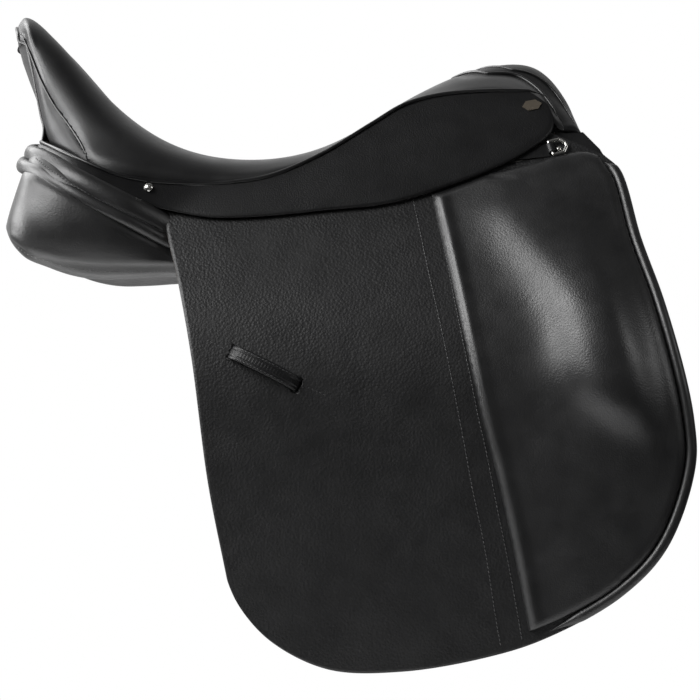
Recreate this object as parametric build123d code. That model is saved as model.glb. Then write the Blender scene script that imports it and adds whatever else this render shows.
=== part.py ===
"""A deep-seated riding saddle with a high cantle, built the way a saddler builds it.

Frame: +X towards the pommel, +Y towards the horse's left, +Z up, in millimetres.
The origin is on the centre plane, at the roof of the gullet channel under the lowest
part of the seat.

Every layered leather part hangs on one guide surface, the outer face of the flaps. In
cross-section it is a straight slope beside the tree, an arc over the panel and a nearly
vertical run at the foot. A layer is given by its offset from that surface, outwards
positive. The right side (Y negative) is modelled and the left side is its mirror image.
"""

import os
from math import asin, atan2, cos, degrees, hypot, radians, sin, sqrt, tan

from build123d import *

# --- guide surface -----------------------------------------------------------------
SLOPE = radians(30)  # slope beside the tree, from vertical
FOOT = radians(3)  # slope at the foot of the flap
HALF_WIDTH = 131.0  # distance from the centre plane at Z = 0
BEND_TOP = -60.0  # height where the slope ends and the arc starts
BEND_R = 220.0

BEND_H = HALF_WIDTH - BEND_TOP * tan(SLOPE) - BEND_R * cos(SLOPE)
BEND_Z = BEND_TOP - BEND_R * sin(SLOPE)

# --- layers, as (outer, inner) offsets from the guide surface ------------------------
SKIRT = (4.5, 1.0)
CHAPE = (0.85, 0.1)
FLAP = (0.0, -3.5)
KEEPER_TAB = (-4.9, -6.1)
BAR_BLADE = (-0.3, -5.0)
POCKET = (-5.0, -12.5)
BILLET = (-6.5, -10.0)
WEB = (-11.0, -12.5)
BAR_PLATE = (-13.0, -17.0)
SWEAT_FLAP = (-14.0, -16.0)
TREE = (-17.2, -27.0)
PANEL_OUTER = -17.4

# --- fold lines: a point in side view and the rise per unit of length ------------------
SKIRT_FOLD = (-98.0, -1.5)
SKIRT_RISE = 0.2175
FLAP_FOLD = (87.6, 1.4)
FLAP_RISE = 0.2705
FOLD_GAP = 0.5  # each side of a fold

# --- outlines in side view, as (x, z) --------------------------------------------------
SEAT_SEAM = [(-77.7, 18.6), (-43.9, 20.0), (-13.3, 25.3), (28.6, 43.9), (69.4, 69.6),
             (95.8, 86.0), (124.8, 94.7), (165.0, 98.4), (199.0, 98.4)]
SKIRT_EDGE = [(-97.9, -1.8), (-64.0, -8.0), (-23.1, -7.6), (35.3, -1.8), (77.9, 2.7),
              (114.2, 11.9), (178.0, 37.1), (211.4, 58.4), (216.0, 75.0), (199.0, 96.0)]
FLAP_REAR = [(-96.0, 3.0), (-96.1, -14.4), (-85.8, -54.3), (-73.0, -117.7), (-59.2, -217.4),
             (-44.2, -291.8)]
FLAP_FOOT = [(-44.2, -291.8), (-7.6, -341.3), (35.1, -361.3), (91.0, -362.9),
             (156.2, -352.1), (202.8, -337.4)]
FLAP_FRONT = [(202.8, -337.4), (262.8, -304.2), (298.0, -267.0), (320.2, -205.0),
              (319.7, -167.6), (299.7, -76.7), (284.1, -23.4), (270.8, 33.2), (258.5, 46.0)]
FLAP_TOP = [(258.5, 46.0), (240.0, 55.0), (206.0, 69.0), (124.0, 78.0), (60.0, 50.0),
            (0.0, 20.0), (-40.0, 11.0), (-96.0, 3.0)]
SWEAT_OUTLINE = [
    [(-45.0, 0.0), (-38.0, -120.0), (-22.0, -230.0), (4.0, -300.0)],
    [(4.0, -300.0), (45.0, -332.0), (110.0, -338.0), (185.0, -322.0)],
    [(185.0, -322.0), (262.0, -262.0), (288.0, -180.0), (268.0, -60.0), (238.0, 20.0)],
    [(238.0, 20.0), (120.0, 14.0), (40.0, 6.0), (-45.0, 0.0)],
]
SEAT_BREAK = [(145.5, 116.8), (164.6, 118.6), (187.5, 117.6), (196.3, 113.9),
              (207.9, 104.3), (217.9, 90.2)]
CANTLE_RIDGE = [(-223.4, 170.5), (-219.6, 149.3), (-213.4, 134.5), (-201.4, 107.2),
                (-189.5, 86.1), (-177.9, 70.9), (-165.5, 52.8)]

# --- seat form: at each X, (distance from centre, Z) from the centre to the seam, then the
# --- Z of its underside on the centre plane ---------------------------------------------
SEAT_RIBS = {
    -228: ([(0, 168.5), (20, 168), (38, 165.5), (52, 160.5), (61, 154), (65, 149), (64, 144)],
           125),
    -221: ([(0, 165.5), (22, 166.5), (43, 166), (60, 160), (72, 151), (77, 142), (74, 129)], 110),
    -214: ([(0, 160), (22, 162), (46, 164), (66, 158), (80, 146), (85, 131), (80, 112)], 93),
    -201: ([(0, 141), (28, 145), (56, 153), (78, 141), (93, 107), (92, 84), (80, 60)], 60),
    -188: ([(0, 122), (32, 129), (62, 143), (87, 124), (104, 84), (110, 66), (108, 52)], 50),
    -168: ([(0, 97), (35, 103), (68, 117), (97, 98), (119, 58), (129, 48), (131, 42)], 40),
    -137: ([(0, 73), (40, 76), (76, 84), (108, 71), (130, 46), (137, 37), (138, 28)], 28),
    -107: ([(0, 56), (40, 58), (80, 62), (112, 53), (128, 37), (133, 29), (132.5, 22)], 22),
    -77: ([(0, 44), (40, 46), (80, 49.5), (112, 42), (124, 31.5), (128, 25), (128, 18.6)], 20),
    -40: ([(0, 39), (40, 41), (78, 44), (107, 38), (119, 30), (124, 25.5), (124.6, 20.3)], 20),
    4: ([(0, 42), (38, 44.5), (74, 47), (100, 43.5), (112, 38), (117.5, 34.5), (118.5, 30)], 23),
    34: ([(0, 51), (35, 54), (65, 56), (89, 54.5), (102, 51), (108, 49), (109, 46)], 38),
    64: ([(0, 69), (30, 71.5), (55, 72.5), (78, 71.5), (91, 69.5), (97, 68), (98, 66)], 54),
    94: ([(0, 92), (25, 93.5), (46, 94), (65, 92.5), (79, 90), (86, 88), (87, 85.5)], 72),
    125: ([(0, 112), (25, 112), (45, 109.5), (61, 105.5), (73, 100.5), (80, 97.5), (81, 94.8)],
          84),
    165: ([(0, 126), (22, 125), (42, 121), (57, 115), (69, 108), (78, 102), (79.5, 98.6)], 90),
    190: ([(0, 128.5), (20, 127), (38, 122), (54, 114.5), (68, 107), (77, 101.5), (79.5, 98.6)],
          92),
    208: ([(0, 124), (18, 122.5), (34, 118), (50, 111), (64, 103.5), (75, 97), (81, 91)], 90),
    220: ([(0, 115.5), (18, 114), (36, 108), (54, 98.5), (70, 88), (84, 77), (91, 70)], 86),
    232: ([(0, 101.5), (18, 99.5), (36, 95), (54, 88.5), (68, 82), (80, 75), (90, 69)], 82),
    238: ([(0, 86), (18, 85.7), (36, 84.5), (54, 82), (66, 79), (78, 74.5), (88, 69)], 78),
}

# --- leather across the back of the cantle: at each Z, centre X, side X, half width ---------
CANTLE_BACK = [
    (62.0, (-204.6, -201.4, 76.0)),
    (92.0, (-212.6, -209.5, 76.0)),
    (115.0, (-222.0, -216.5, 72.0)),
    (130.0, (-227.5, -222.0, 66.0)),
    (142.0, (-231.0, -226.5, 58.0)),
    (153.0, (-231.6, -229.0, 46.0)),
    (163.0, (-230.6, -227.9, 30.0)),
]

# --- rear band of the skirt, round the cantle: seam (x, h, z), lower edge (x, h, z) --------
SKIRT_BAND = [
    ((-96.0, 129.0, 19.6), (-96.0, 137.3, -2.2)),
    ((-113.0, 133.5, 22.6), (-114.0, 141.0, 4.6)),
    ((-133.0, 138.6, 26.4), (-135.0, 146.0, 15.0)),
    ((-152.0, 139.0, 33.4), (-155.0, 146.5, 26.0)),
    ((-173.0, 130.5, 43.0), (-177.0, 137.0, 36.5)),
    ((-191.0, 108.5, 51.5), (-195.0, 113.0, 46.0)),
    ((-203.0, 82.0, 57.8), (-207.0, 84.0, 52.0)),
]

# --- panel: at each X, eight (h, z) points round the cushion ------------------------------
PANEL_RIBS = {
    -224: [(74, -10), (80, -20), (98, -26), (116, -26), (128, -20), (131, -10), (122, -2), (98, 0)],
    -212: [(48, 4), (54, -22), (84, -37), (118, -40), (140, -32), (146, -6), (132, 20), (90, 24)],
    -190: [(37, 12), (40, -20), (72, -40), (114, -51), (142, -42), (151, -12), (142, 20), (92, 26)],
    -160: [(34, 8), (37, -24), (72, -46), (116, -59), (142, -50), (152, -20), (143, 8), (90, 16)],
    -130: [(33, 4), (37, -27), (74, -48), (116, -59), (141, -50), (149, -25), (140, -4), (90, 2)],
    -95: [(33, 0), (37, -28), (74, -47), (114, -57), (137, -50), (139, -31), (129, -15), (88, -5)],
    -60: [(33, 0), (36, -28), (72, -46), (110, -61), (136, -58), (129, -36), (116, -15), (86, -8)],
    0: [(33, 0), (36, -28), (70, -46), (112, -68), (139, -66), (129, -36), (116, -15), (84, -8)],
    50: [(33, 4), (39, -22), (74, -50), (124, -92), (154, -92), (136, -50), (113, -8), (82, 6)],
    100: [(35, 20), (46, -12), (84, -62), (136, -138), (170, -142), (148, -70), (108, 0), (72, 20)],
    150: [(38, 34), (52, -4), (94, -72), (144, -164), (172, -176), (156, -86), (106, 4), (72, 32)],
    200: [(42, 44), (58, 2), (102, -72), (146, -158), (170, -170), (154, -84), (102, 10), (74, 40)],
    235: [(56, 42), (68, 6), (108, -54), (138, -98), (157, -112), (144, -64), (104, 6), (82, 36)],
    250: [(76, 30), (84, 4), (108, -24), (120, -40), (131, -42), (124, -28), (104, 4), (90, 26)],
}

# --- tree rails: at each X, (h, z) of the middle, tilt from vertical, width ----------------
RAIL_RIBS = {
    200: (70.5, 60, 30, 36),
    110: (72.0, 58, 30, 42),
    50: (81.0, 34, 46, 34),
    0: (87.0, 11, 60, 34),
    -60: (91.0, 3, 76, 36),
    -120: (95.0, 11, 86, 42),
    -168: (82.0, 26, 90, 44),
}
RAIL_T = 8.5

# --- knee pad: at each distance below the fold, (rear X, front X, crest X, crest height) ----
PAD_RIBS = {
    8: (129, 262, 214, 1.9),
    20: (123, 268, 216, 7.0),
    45: (127, 277, 222, 14.0),
    85: (134, 288, 230, 21.0),
    130: (143, 299, 242, 25.0),
    175: (152, 309, 252, 24.0),
    215: (160, 315, 260, 18.0),
    250: (168, 317, 262, 9.0),
    290: (177, 312, 240, 6.5),
    325: (184, 296, 232, 6.0),
    350: (188, 262, 222, 5.0),
    362: (190, 228, 208, 4.0),
}
PAD_T = 6.0

# --- other driving sizes ----------------------------------------------------------------
COVER = 3.0  # seat leather
FOAM_INSET = 9.0
FOAM_X = (-168.0, 190.0)  # from the cantle board to the head of the tree
BILLET_W = 25.0
BILLET_X = {"front": 110.0, "rear": 24.0}
BILLET_TOP = -2.0
BILLET_FOOT = -296.0
BILLET_PIVOT = -14.0
HOLE_R = 2.5
HOLE_PITCH = 25.0
HOLE_COUNT = 7
HOLE_TOP = -110.0
KEEPER = (-15.5, -127.5)  # middle of the strap keeper in side view
KEEPER_SPAN = 57.0
KEEPER_TURN = -26.7
KEEPER_W = 11.0
BAR_FRONT = 203.0
BAR_REAR = 136.0
BAR_LOW = 43.4  # lower edge of the blade at its front end
BAR_RISE = 0.21
BLADE_W = 10.0
CATCH_LEN = 18.0
CATCH_PIN_R = 1.5
PIN_FIT = 0.05
DEE = (215.2, 49.8)  # middle of the bar of the dee
DEE_WIRE = 1.4
DEE_H = 13.0
DEE_W = 13.0
DEE_STANDOFF = 3.3
DEE_TURN = 16.0
NAIL_R = 4.0
BADGE = (201.0, 85.6)
FAR = 400.0  # beyond the object on any side


# --- helpers ---------------------------------------------------------------------------
def slope_h(z, offset=0.0):
    """Distance from the centre plane on the straight slope."""
    return HALF_WIDTH + offset / cos(SLOPE) - z * tan(SLOPE)


def guide_h(z, offset=0.0):
    """Distance from the centre plane of a layer at any height."""
    radius = BEND_R + offset
    if z >= BEND_Z + radius * sin(SLOPE):
        return slope_h(z, offset)
    foot_z = BEND_Z + radius * sin(FOOT)
    if z >= foot_z:
        return BEND_H + sqrt(radius**2 - (z - BEND_Z) ** 2)
    return BEND_H + radius * cos(FOOT) + (foot_z - z) * tan(FOOT)


def guide_tilt(z):
    """Angle of the guide surface from vertical, in radians."""
    if z >= BEND_TOP:
        return SLOPE
    return max(FOOT, asin(max(0.0, z - BEND_Z) / BEND_R))


def bend_point(offset, angle):
    radius = BEND_R + offset
    return BEND_H + radius * cos(angle), BEND_Z + radius * sin(angle)


def layer(offsets, top, bottom, x0=-FAR, x1=FAR):
    """One leather layer of the right side between two heights, before it is cut to shape."""
    outer, inner = offsets
    middle = (SLOPE + FOOT) / 2

    def at(h, z):
        return Vector(x0, -h, z)

    def side(offset):
        arc = [at(*bend_point(offset, a)) for a in (SLOPE, middle, FOOT)]
        foot = at(guide_h(bottom, offset), bottom)
        return at(slope_h(top, offset), top), arc, foot

    top_o, arc_o, foot_o = side(outer)
    top_i, arc_i, foot_i = side(inner)
    edges = [
        Edge.make_line(top_o, arc_o[0]),
        Edge.make_three_point_arc(*arc_o),
        Edge.make_line(arc_o[2], foot_o),
        Edge.make_line(foot_o, foot_i),
        Edge.make_line(foot_i, arc_i[2]),
        Edge.make_three_point_arc(arc_i[2], arc_i[1], arc_i[0]),
        Edge.make_line(arc_i[0], top_i),
        Edge.make_line(top_i, top_o),
    ]
    return extrude(Face(Wire(edges)), amount=x1 - x0, dir=(1, 0, 0))


def slope_plate(offsets, z0, z1, x0=-FAR, x1=FAR):
    """A flat plate parallel to the straight slope."""
    corners = [
        (x0, -slope_h(z, offset), z)
        for z, offset in ((z0, offsets[0]), (z1, offsets[0]), (z1, offsets[1]), (z0, offsets[1]))
    ]
    face = Face(Wire.make_polygon([Vector(*c) for c in corners], close=True))
    return extrude(face, amount=x1 - x0, dir=(1, 0, 0))


def side_view(*runs):
    """A prism through the right side whose outline is given in side view as runs of (x, z).

    A run of two points is a line and a longer one is a smooth curve. Each starts where the
    last one ended, and the outline closes itself.
    """
    edges = []
    for run in runs:
        points = [Vector(x, 0, z) for x, z in run]
        if len(points) == 2:
            edges.append(Edge.make_line(*points))
        else:
            edges.append(Edge.make_spline(points))
    start, end = edges[0] @ 0, edges[-1] @ 1
    if (start - end).length > 1e-6:
        edges.append(Edge.make_line(end, start))
    return extrude(Face(Wire(edges)), amount=FAR, dir=(0, -1, 0))


def fold_z(fold, rise, x):
    return fold[1] + (x - fold[0]) * rise


def above(fold, rise, gap, offset):
    """A slab across the straight slope, covering everything above a fold line."""
    left = fold_z(fold, rise, -FAR) + gap
    right = fold_z(fold, rise, FAR) + gap
    corners = [(-FAR, left), (FAR, right), (FAR, FAR), (-FAR, FAR)]
    wire = Wire.make_polygon([Vector(x, -slope_h(z, offset), z) for x, z in corners], close=True)
    return extrude(Face(wire), amount=14, dir=(0, -cos(SLOPE), sin(SLOPE)), both=True)


def surface_frame(x, z, offset=0.0):
    """A plane on the guide surface: X forwards, Y down the leather, Z straight out of it."""
    tilt = guide_tilt(z)
    out = Vector(0, -cos(tilt), sin(tilt))
    return Plane(origin=Vector(x, -guide_h(z), z) + out * offset, x_dir=(1, 0, 0), z_dir=out)


def placed(shape, x, z, offset=0.0, turn=0.0):
    """A shape made about the origin, moved onto the guide surface and turned in its plane."""
    return surface_frame(x, z, offset).location * Rot(0, 0, turn) * shape


parts = {}


def keep(name, shape):
    parts[name] = shape


def keep_pair(name, right):
    """Keeps a right-hand part and its mirror image."""
    parts[name + "_right"] = right
    parts[name + "_left"] = mirror(right, about=Plane.XZ)


# --- seat ------------------------------------------------------------------------------
def inset(points, depth):
    """Moves a rib's points inwards, square to the rib."""
    moved = []
    for i, (h, z) in enumerate(points):
        h0, z0 = points[i - 1] if i else (-points[1][0], points[1][1])
        h1, z1 = points[min(i + 1, len(points) - 1)]
        length = hypot(h1 - h0, z1 - z0)
        moved.append((h + (z1 - z0) / length * depth, z - (h1 - h0) / length * depth))
    return moved


def bow(x, points):
    """A smooth curve over the seat from the right seam to the left one."""
    right = [Vector(x, -h, z) for h, z in reversed(points)]
    left = [Vector(x, h, z) for h, z in points[1:]]
    return Edge.make_spline(right + left)


def closed(outer, inner):
    """Joins the ends of two curves that run the same way."""
    return Wire([outer, Edge.make_line(outer @ 1, inner @ 1), inner,
                 Edge.make_line(inner @ 0, outer @ 0)])


def level(points, z):
    """Ends an inset rib at the height of the seam."""
    return points[:-1] + [(points[-1][0], z)]


def seat_skin():
    """The leather over the seat, from cantle to pommel."""
    ribs = []
    for x, (points, _) in sorted(SEAT_RIBS.items()):
        inner = level(inset(points, COVER), points[-1][1])
        ribs.append(closed(bow(x, points), bow(x, inner)))
    return Solid.make_loft(ribs)


def seat_core():
    """The foam under the seat leather."""
    ribs = []
    for x, (points, under) in sorted(SEAT_RIBS.items()):
        if not FOAM_X[0] <= x <= FOAM_X[1]:
            continue
        corner = (points[-1][0] - 12.0, points[-1][1] + 2.0)
        half = inset(points, FOAM_INSET)[:4] + [corner]
        right = [Vector(x, -h, z) for h, z in reversed(half)]
        left = [Vector(x, h, z) for h, z in half[1:]]
        ribs.append(Wire.make_polygon(right + left + [Vector(x, 0, under)], close=True))
    return Solid.make_loft(ribs, ruled=True)


def both_sides(prism):
    return prism + mirror(prism, about=Plane.XZ)


def cantle_zone():
    """Everything behind the ridge of the cantle, on the right."""
    end = CANTLE_RIDGE[-1]
    return side_view(CANTLE_RIDGE, [end, (end[0], 0.0)], [(end[0], 0.0), (-FAR, 0.0)],
                     [(-FAR, 0.0), (-FAR, CANTLE_RIDGE[0][1])])


def pommel_zone():
    """Everything above the seam where the seat leather meets the pommel cap, on the right."""
    start, end = SEAT_BREAK[0], SEAT_BREAK[-1]
    return side_view(SEAT_BREAK, [end, (222.0, 40.0)], [(222.0, 40.0), (FAR, 40.0)],
                     [(FAR, 40.0), (FAR, FAR)], [(FAR, FAR), (start[0], FAR)])


def make_seat():
    skin = seat_skin()
    keep("cantle_gusset", skin & both_sides(cantle_zone()))
    keep("pommel_cap", skin & both_sides(pommel_zone()))
    rest = skin - both_sides(cantle_zone()) - both_sides(pommel_zone())
    keep("seat_cover", max(rest.solids(), key=lambda solid: solid.volume))
    keep("cantle_back", Solid.make_loft([cantle_rib(z, *rib, 2.0) for z, rib in CANTLE_BACK]))
    keep("seat_foam", seat_core())


# --- tree --------------------------------------------------------------------------------
def rail_rib(x, h, z, tilt, width, thickness, sink):
    """A slanted rectangle across a rail; sink moves it towards the underside."""
    along = Vector(0, -sin(radians(tilt)), -cos(radians(tilt)))
    out = Vector(0, -cos(radians(tilt)), sin(radians(tilt)))
    middle = Vector(x, -h, z) - out * sink
    a, b = along * (width / 2), out * (thickness / 2)
    return Wire.make_polygon([middle - a - b, middle + a - b, middle + a + b, middle - a + b],
                             close=True)


def rail(scale=1.0, thickness=RAIL_T, sink=0.0, x_min=-FAR, x_max=FAR):
    ribs = [
        rail_rib(x, h, z, tilt, width * scale, thickness, sink)
        for x, (h, z, tilt, width) in sorted(RAIL_RIBS.items())
        if x_min <= x <= x_max
    ]
    return Solid.make_loft(ribs)


def head_arch(x0, x1, offsets, crown, foot):
    """An arch over the withers whose legs lie on the slope."""
    outer, inner = offsets
    thick = outer - inner
    shoulder = crown - 34.0

    def right(z, offset):
        return Vector(x0, -slope_h(z, offset), z)

    def left(z, offset):
        return Vector(x0, slope_h(z, offset), z)

    edges = [
        Edge.make_line(right(foot, outer), right(shoulder, outer)),
        Edge.make_three_point_arc(right(shoulder, outer), Vector(x0, 0, crown),
                                  left(shoulder, outer)),
        Edge.make_line(left(shoulder, outer), left(foot, outer)),
        Edge.make_line(left(foot, outer), left(foot, inner)),
        Edge.make_line(left(foot, inner), left(shoulder, inner)),
        Edge.make_three_point_arc(left(shoulder, inner), Vector(x0, 0, crown - thick),
                                  right(shoulder, inner)),
        Edge.make_line(right(shoulder, inner), right(foot, inner)),
        Edge.make_line(right(foot, inner), right(foot, outer)),
    ]
    return extrude(Face(Wire(edges)), amount=x1 - x0, dir=(1, 0, 0))


def cantle_rib(z, centre_x, side_x, side_h, board):
    """A bow of even thickness in plan at one height of the cantle."""
    outer = Edge.make_three_point_arc(Vector(side_x, -side_h, z), Vector(centre_x, 0, z),
                                      Vector(side_x, side_h, z))
    inner = Edge.make_three_point_arc(Vector(side_x, side_h - board, z),
                                      Vector(centre_x + board, 0, z),
                                      Vector(side_x, board - side_h, z))
    return Wire([outer, Edge.make_line(outer @ 1, inner @ 0), inner,
                 Edge.make_line(inner @ 1, outer @ 0)])


def make_tree():
    keep_pair("tree_rail", rail())
    keep_pair("tree_spring", rail(0.45, 1.6, RAIL_T / 2 + 1.2, -120, 110) - rail())
    keep("tree_head", head_arch(203.4, 215.0, TREE, 112.0, -24.0))
    keep("head_plate", head_arch(215.2, 217.2, (-18.5, -25.0), 110.6, 10.0))
    keep("gullet_plate", head_arch(204.0, 214.0, (-27.2, -29.4), 101.8, 8.0))
    keep("tree_cantle", Solid.make_loft([
        cantle_rib(31.5, -192.0, -170.0, 90.0, 8.0),
        cantle_rib(80.0, -201.0, -184.0, 80.0, 8.0),
        cantle_rib(128.0, -214.0, -202.0, 58.0, 8.0),
    ]))


def strap_rib(x, z, width, thickness=1.6):
    half = width / 2
    return Wire.make_polygon([Vector(x, -half, z), Vector(x, half, z),
                              Vector(x, half, z + thickness), Vector(x, -half, z + thickness)],
                             close=True)


def make_webbing():
    drop = {-176: 37, -168: 34, -137: 23, -107: 17.5, -77: 15.5, -40: 15.5, 4: 18, 34: 32,
            64: 48, 94: 65, 125: 77, 165: 83, 200: 85}
    keep("seat_web_long", Solid.make_loft([strap_rib(x, z, 48.0) for x, z in sorted(drop.items())]))
    keep("seat_web_cross", Pos(-20, 0, 13.6) * Box(42, 128, 1.6))


# --- panel -----------------------------------------------------------------------------
def panel_rib(x, points):
    return Wire([Edge.make_spline([Vector(x, -h, z) for h, z in reversed(points)], periodic=True)])


def make_panel():
    cushion = Solid.make_loft([panel_rib(x, points) for x, points in sorted(PANEL_RIBS.items())])
    outside = layer((70.0, PANEL_OUTER), 120.0, -380.0, x0=-84.0)
    points = head_arch(203.0, 217.6, (TREE[0] + 0.3, TREE[1] - 3.0), 112.0, -24.5)
    keep_pair("panel", cushion - outside - points - rail() - rail(0.5, 6.0, RAIL_T / 2))
    roof = {-200: 16, -160: 8, -120: 3, -60: 0, 0: 0, 50: 4, 90: 16}
    keep("gullet_lining", Solid.make_loft([strap_rib(x, z, 56.0, 2.4) for x, z in roof.items()]))


# --- flaps -----------------------------------------------------------------------------
def leather(offsets, top, *outline):
    """A leather sheet on the guide surface, cut to an outline in side view."""
    return layer(offsets, top, -380.0) & side_view(*outline)


def bar_line(x):
    """Lower edge of the stirrup bar's blade."""
    return BAR_LOW + (x - BAR_FRONT) * BAR_RISE


def bar_window():
    """The opening in the flap through which the stirrup bar stands out."""
    x1, x0 = BAR_FRONT + 4, BAR_REAR - CATCH_LEN - 6
    return side_view([(x0, bar_line(x0) - 5), (x1, bar_line(x1) - 5)],
                     [(x1, bar_line(x1) - 5), (x1, bar_line(x1) + 15)],
                     [(x1, bar_line(x1) + 15), (x0, bar_line(x0) + 31)],
                     [(x0, bar_line(x0) + 31), (x0, bar_line(x0) - 5)])


def keeper_slots():
    """Two slots through the flap for the ends of the strap keeper."""
    slot = Box(4.0, KEEPER_W + 1.2, 14.0)
    span = Pos(-KEEPER_SPAN / 2, 0, 0) * slot + Pos(KEEPER_SPAN / 2, 0, 0) * slot
    return placed(span, *KEEPER, turn=KEEPER_TURN)


def make_flap():
    sheet = leather(FLAP, 90.0, FLAP_REAR, FLAP_FOOT, FLAP_FRONT, *as_lines(FLAP_TOP))
    fixed = sheet & above(FLAP_FOLD, FLAP_RISE, FOLD_GAP, FLAP[0])
    fixed = fixed - bar_window()
    keep_pair("flap_top", fixed)
    moving = sheet - above(FLAP_FOLD, FLAP_RISE, -FOLD_GAP, FLAP[0])
    keep_pair("flap", moving - keeper_slots())


def as_lines(points):
    """Straight runs between successive points."""
    return [[a, b] for a, b in zip(points, points[1:])]


def make_skirt():
    edge = SKIRT_EDGE[:-1]
    start, corner, top = SKIRT_EDGE[0], SKIRT_EDGE[-2], SKIRT_EDGE[-1]
    seam = [(x, z - 3.2) for x, z in reversed(SEAT_SEAM)]
    rear = [(-96.0, 19.2), (-96.0, -1.9)]
    sheet = leather(SKIRT, 120.0, [(-96.0, -1.9)] + edge[1:], [corner, top], [top, seam[0]], seam,
                    [seam[-1], rear[0]], rear)
    fixed = sheet & above(SKIRT_FOLD, SKIRT_RISE, FOLD_GAP, SKIRT[0])
    keep_pair("skirt_top", fixed)
    keep_pair("skirt", sheet - above(SKIRT_FOLD, SKIRT_RISE, -FOLD_GAP, SKIRT[0]))
    keep_pair("skirt_band", Solid.make_loft([band_rib(a, b) for a, b in SKIRT_BAND]))


def band_rib(top, bottom):
    """A slice of the rear band of the skirt, with its thickness on the inside."""
    a = Vector(top[0], -top[1], top[2] - 0.8)
    b = Vector(bottom[0], -bottom[1], bottom[2])
    along = Vector(-top[1] * 0.35, 0, 0) + Vector(100, 0, 0)
    inward = (b - a).cross(along).normalized() * (SKIRT[0] - SKIRT[1])
    if inward.Y < 0:
        inward = inward * -1
    return Wire.make_polygon([a, b, b + inward, a + inward], close=True)


def make_sweat_flap():
    keep_pair("sweat_flap", leather(SWEAT_FLAP, 60.0, *SWEAT_OUTLINE))


def make_point_pocket():
    outline = as_lines([(219.5, 66.0), (243.0, 66.0), (256.0, 51.5), (262.0, 40.0),
                        (262.0, 22.0), (219.5, 14.0), (219.5, 66.0)])
    keep_pair("point_pocket", slope_plate(POCKET, 0.0, 90.0) & side_view(*outline))


# --- knee pad --------------------------------------------------------------------------
def pad_rib(drop, rear, front, crest, height):
    """An outline across the knee pad, parallel to the fold above it."""
    base = 1.2
    edge = min(PAD_T, height)
    sides = [(rear, base), (rear + 3, max(base + 0.2, edge * 0.8)), (rear + 12, edge)]
    middle = [((rear + 12 + crest) / 2, (edge + height) / 2), (crest, height),
              ((crest + front - 14) / 2, (edge + height) / 2)]
    tail = [(front - 14, edge), (front - 9, max(base + 0.2, edge * 0.7)), (front - 7, base)]
    outer = []
    for x, n in sides + middle + tail:
        z = fold_z(FLAP_FOLD, FLAP_RISE, x) - drop
        outer.append(Vector(x, -guide_h(z, n), z))
    top = Edge.make_spline(outer)
    return Wire([top, Edge.make_line(top @ 1, top @ 0)])


def make_knee_pad():
    ribs = [pad_rib(drop, *rib) for drop, rib in sorted(PAD_RIBS.items())]
    keep_pair("knee_pad", Solid.make_loft(ribs))


def make_keeper():
    """A strap through two slots, standing off the flap so that a stirrup leather passes."""
    half = KEEPER_SPAN / 2
    rise = 7.0
    high, low = KEEPER_TAB
    path = [(-half - 15, high), (-half - 1.5, high), (-half - 1.5, 2.0), (-half + 6, rise + 2.8),
            (half - 6, rise + 2.8), (half + 1.5, 2.0), (half + 1.5, high), (half + 15, high),
            (half + 15, low), (half - 1.5, low), (half - 1.5, 1.0), (half - 7, rise),
            (-half + 7, rise), (-half + 1.5, 1.0), (-half + 1.5, low), (-half - 15, low)]
    wire = Wire.make_polygon([Vector(x, 0, z) for x, z in path], close=True)
    strap = extrude(Face(wire), amount=KEEPER_W / 2, dir=(0, 1, 0), both=True)
    keep_pair("keeper", placed(strap, *KEEPER, turn=KEEPER_TURN))


# --- billets -----------------------------------------------------------------------------
def billet(x):
    half = BILLET_W / 2
    outline = [
        [(x - half, BILLET_TOP), (x + half, BILLET_TOP)],
        [(x + half, BILLET_TOP), (x + half, BILLET_FOOT + 14)],
        [(x + half, BILLET_FOOT + 14), (x, BILLET_FOOT), (x - half, BILLET_FOOT + 14)],
    ]
    strap = leather(BILLET, 40.0, *outline)
    hole = Cylinder(HOLE_R, 16)
    for i in range(HOLE_COUNT):
        z = HOLE_TOP - i * HOLE_PITCH
        strap = strap - placed(hole, x, z, sum(BILLET) / 2)
    return strap


def web(x, top):
    half = BILLET_W / 2 + 6
    return leather(WEB, 60.0, *as_lines([(x - half, -32.0), (x + half, -32.0), (x + half, top),
                                         (x - half, top), (x - half, -32.0)]))


def make_billets():
    for name, x in BILLET_X.items():
        keep_pair("billet_" + name, billet(x))
        keep_pair("girth_web_" + name, web(x, 33.0 if name == "front" else 22.0))


# --- stirrup bar -----------------------------------------------------------------------
def bar_outline(x0, x1, low, high):
    return side_view(*as_lines([(x0, bar_line(x0) + low), (x1, bar_line(x1) + low),
                                (x1, bar_line(x1) + high), (x0, bar_line(x0) + high),
                                (x0, bar_line(x0) + low)]))


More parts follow.
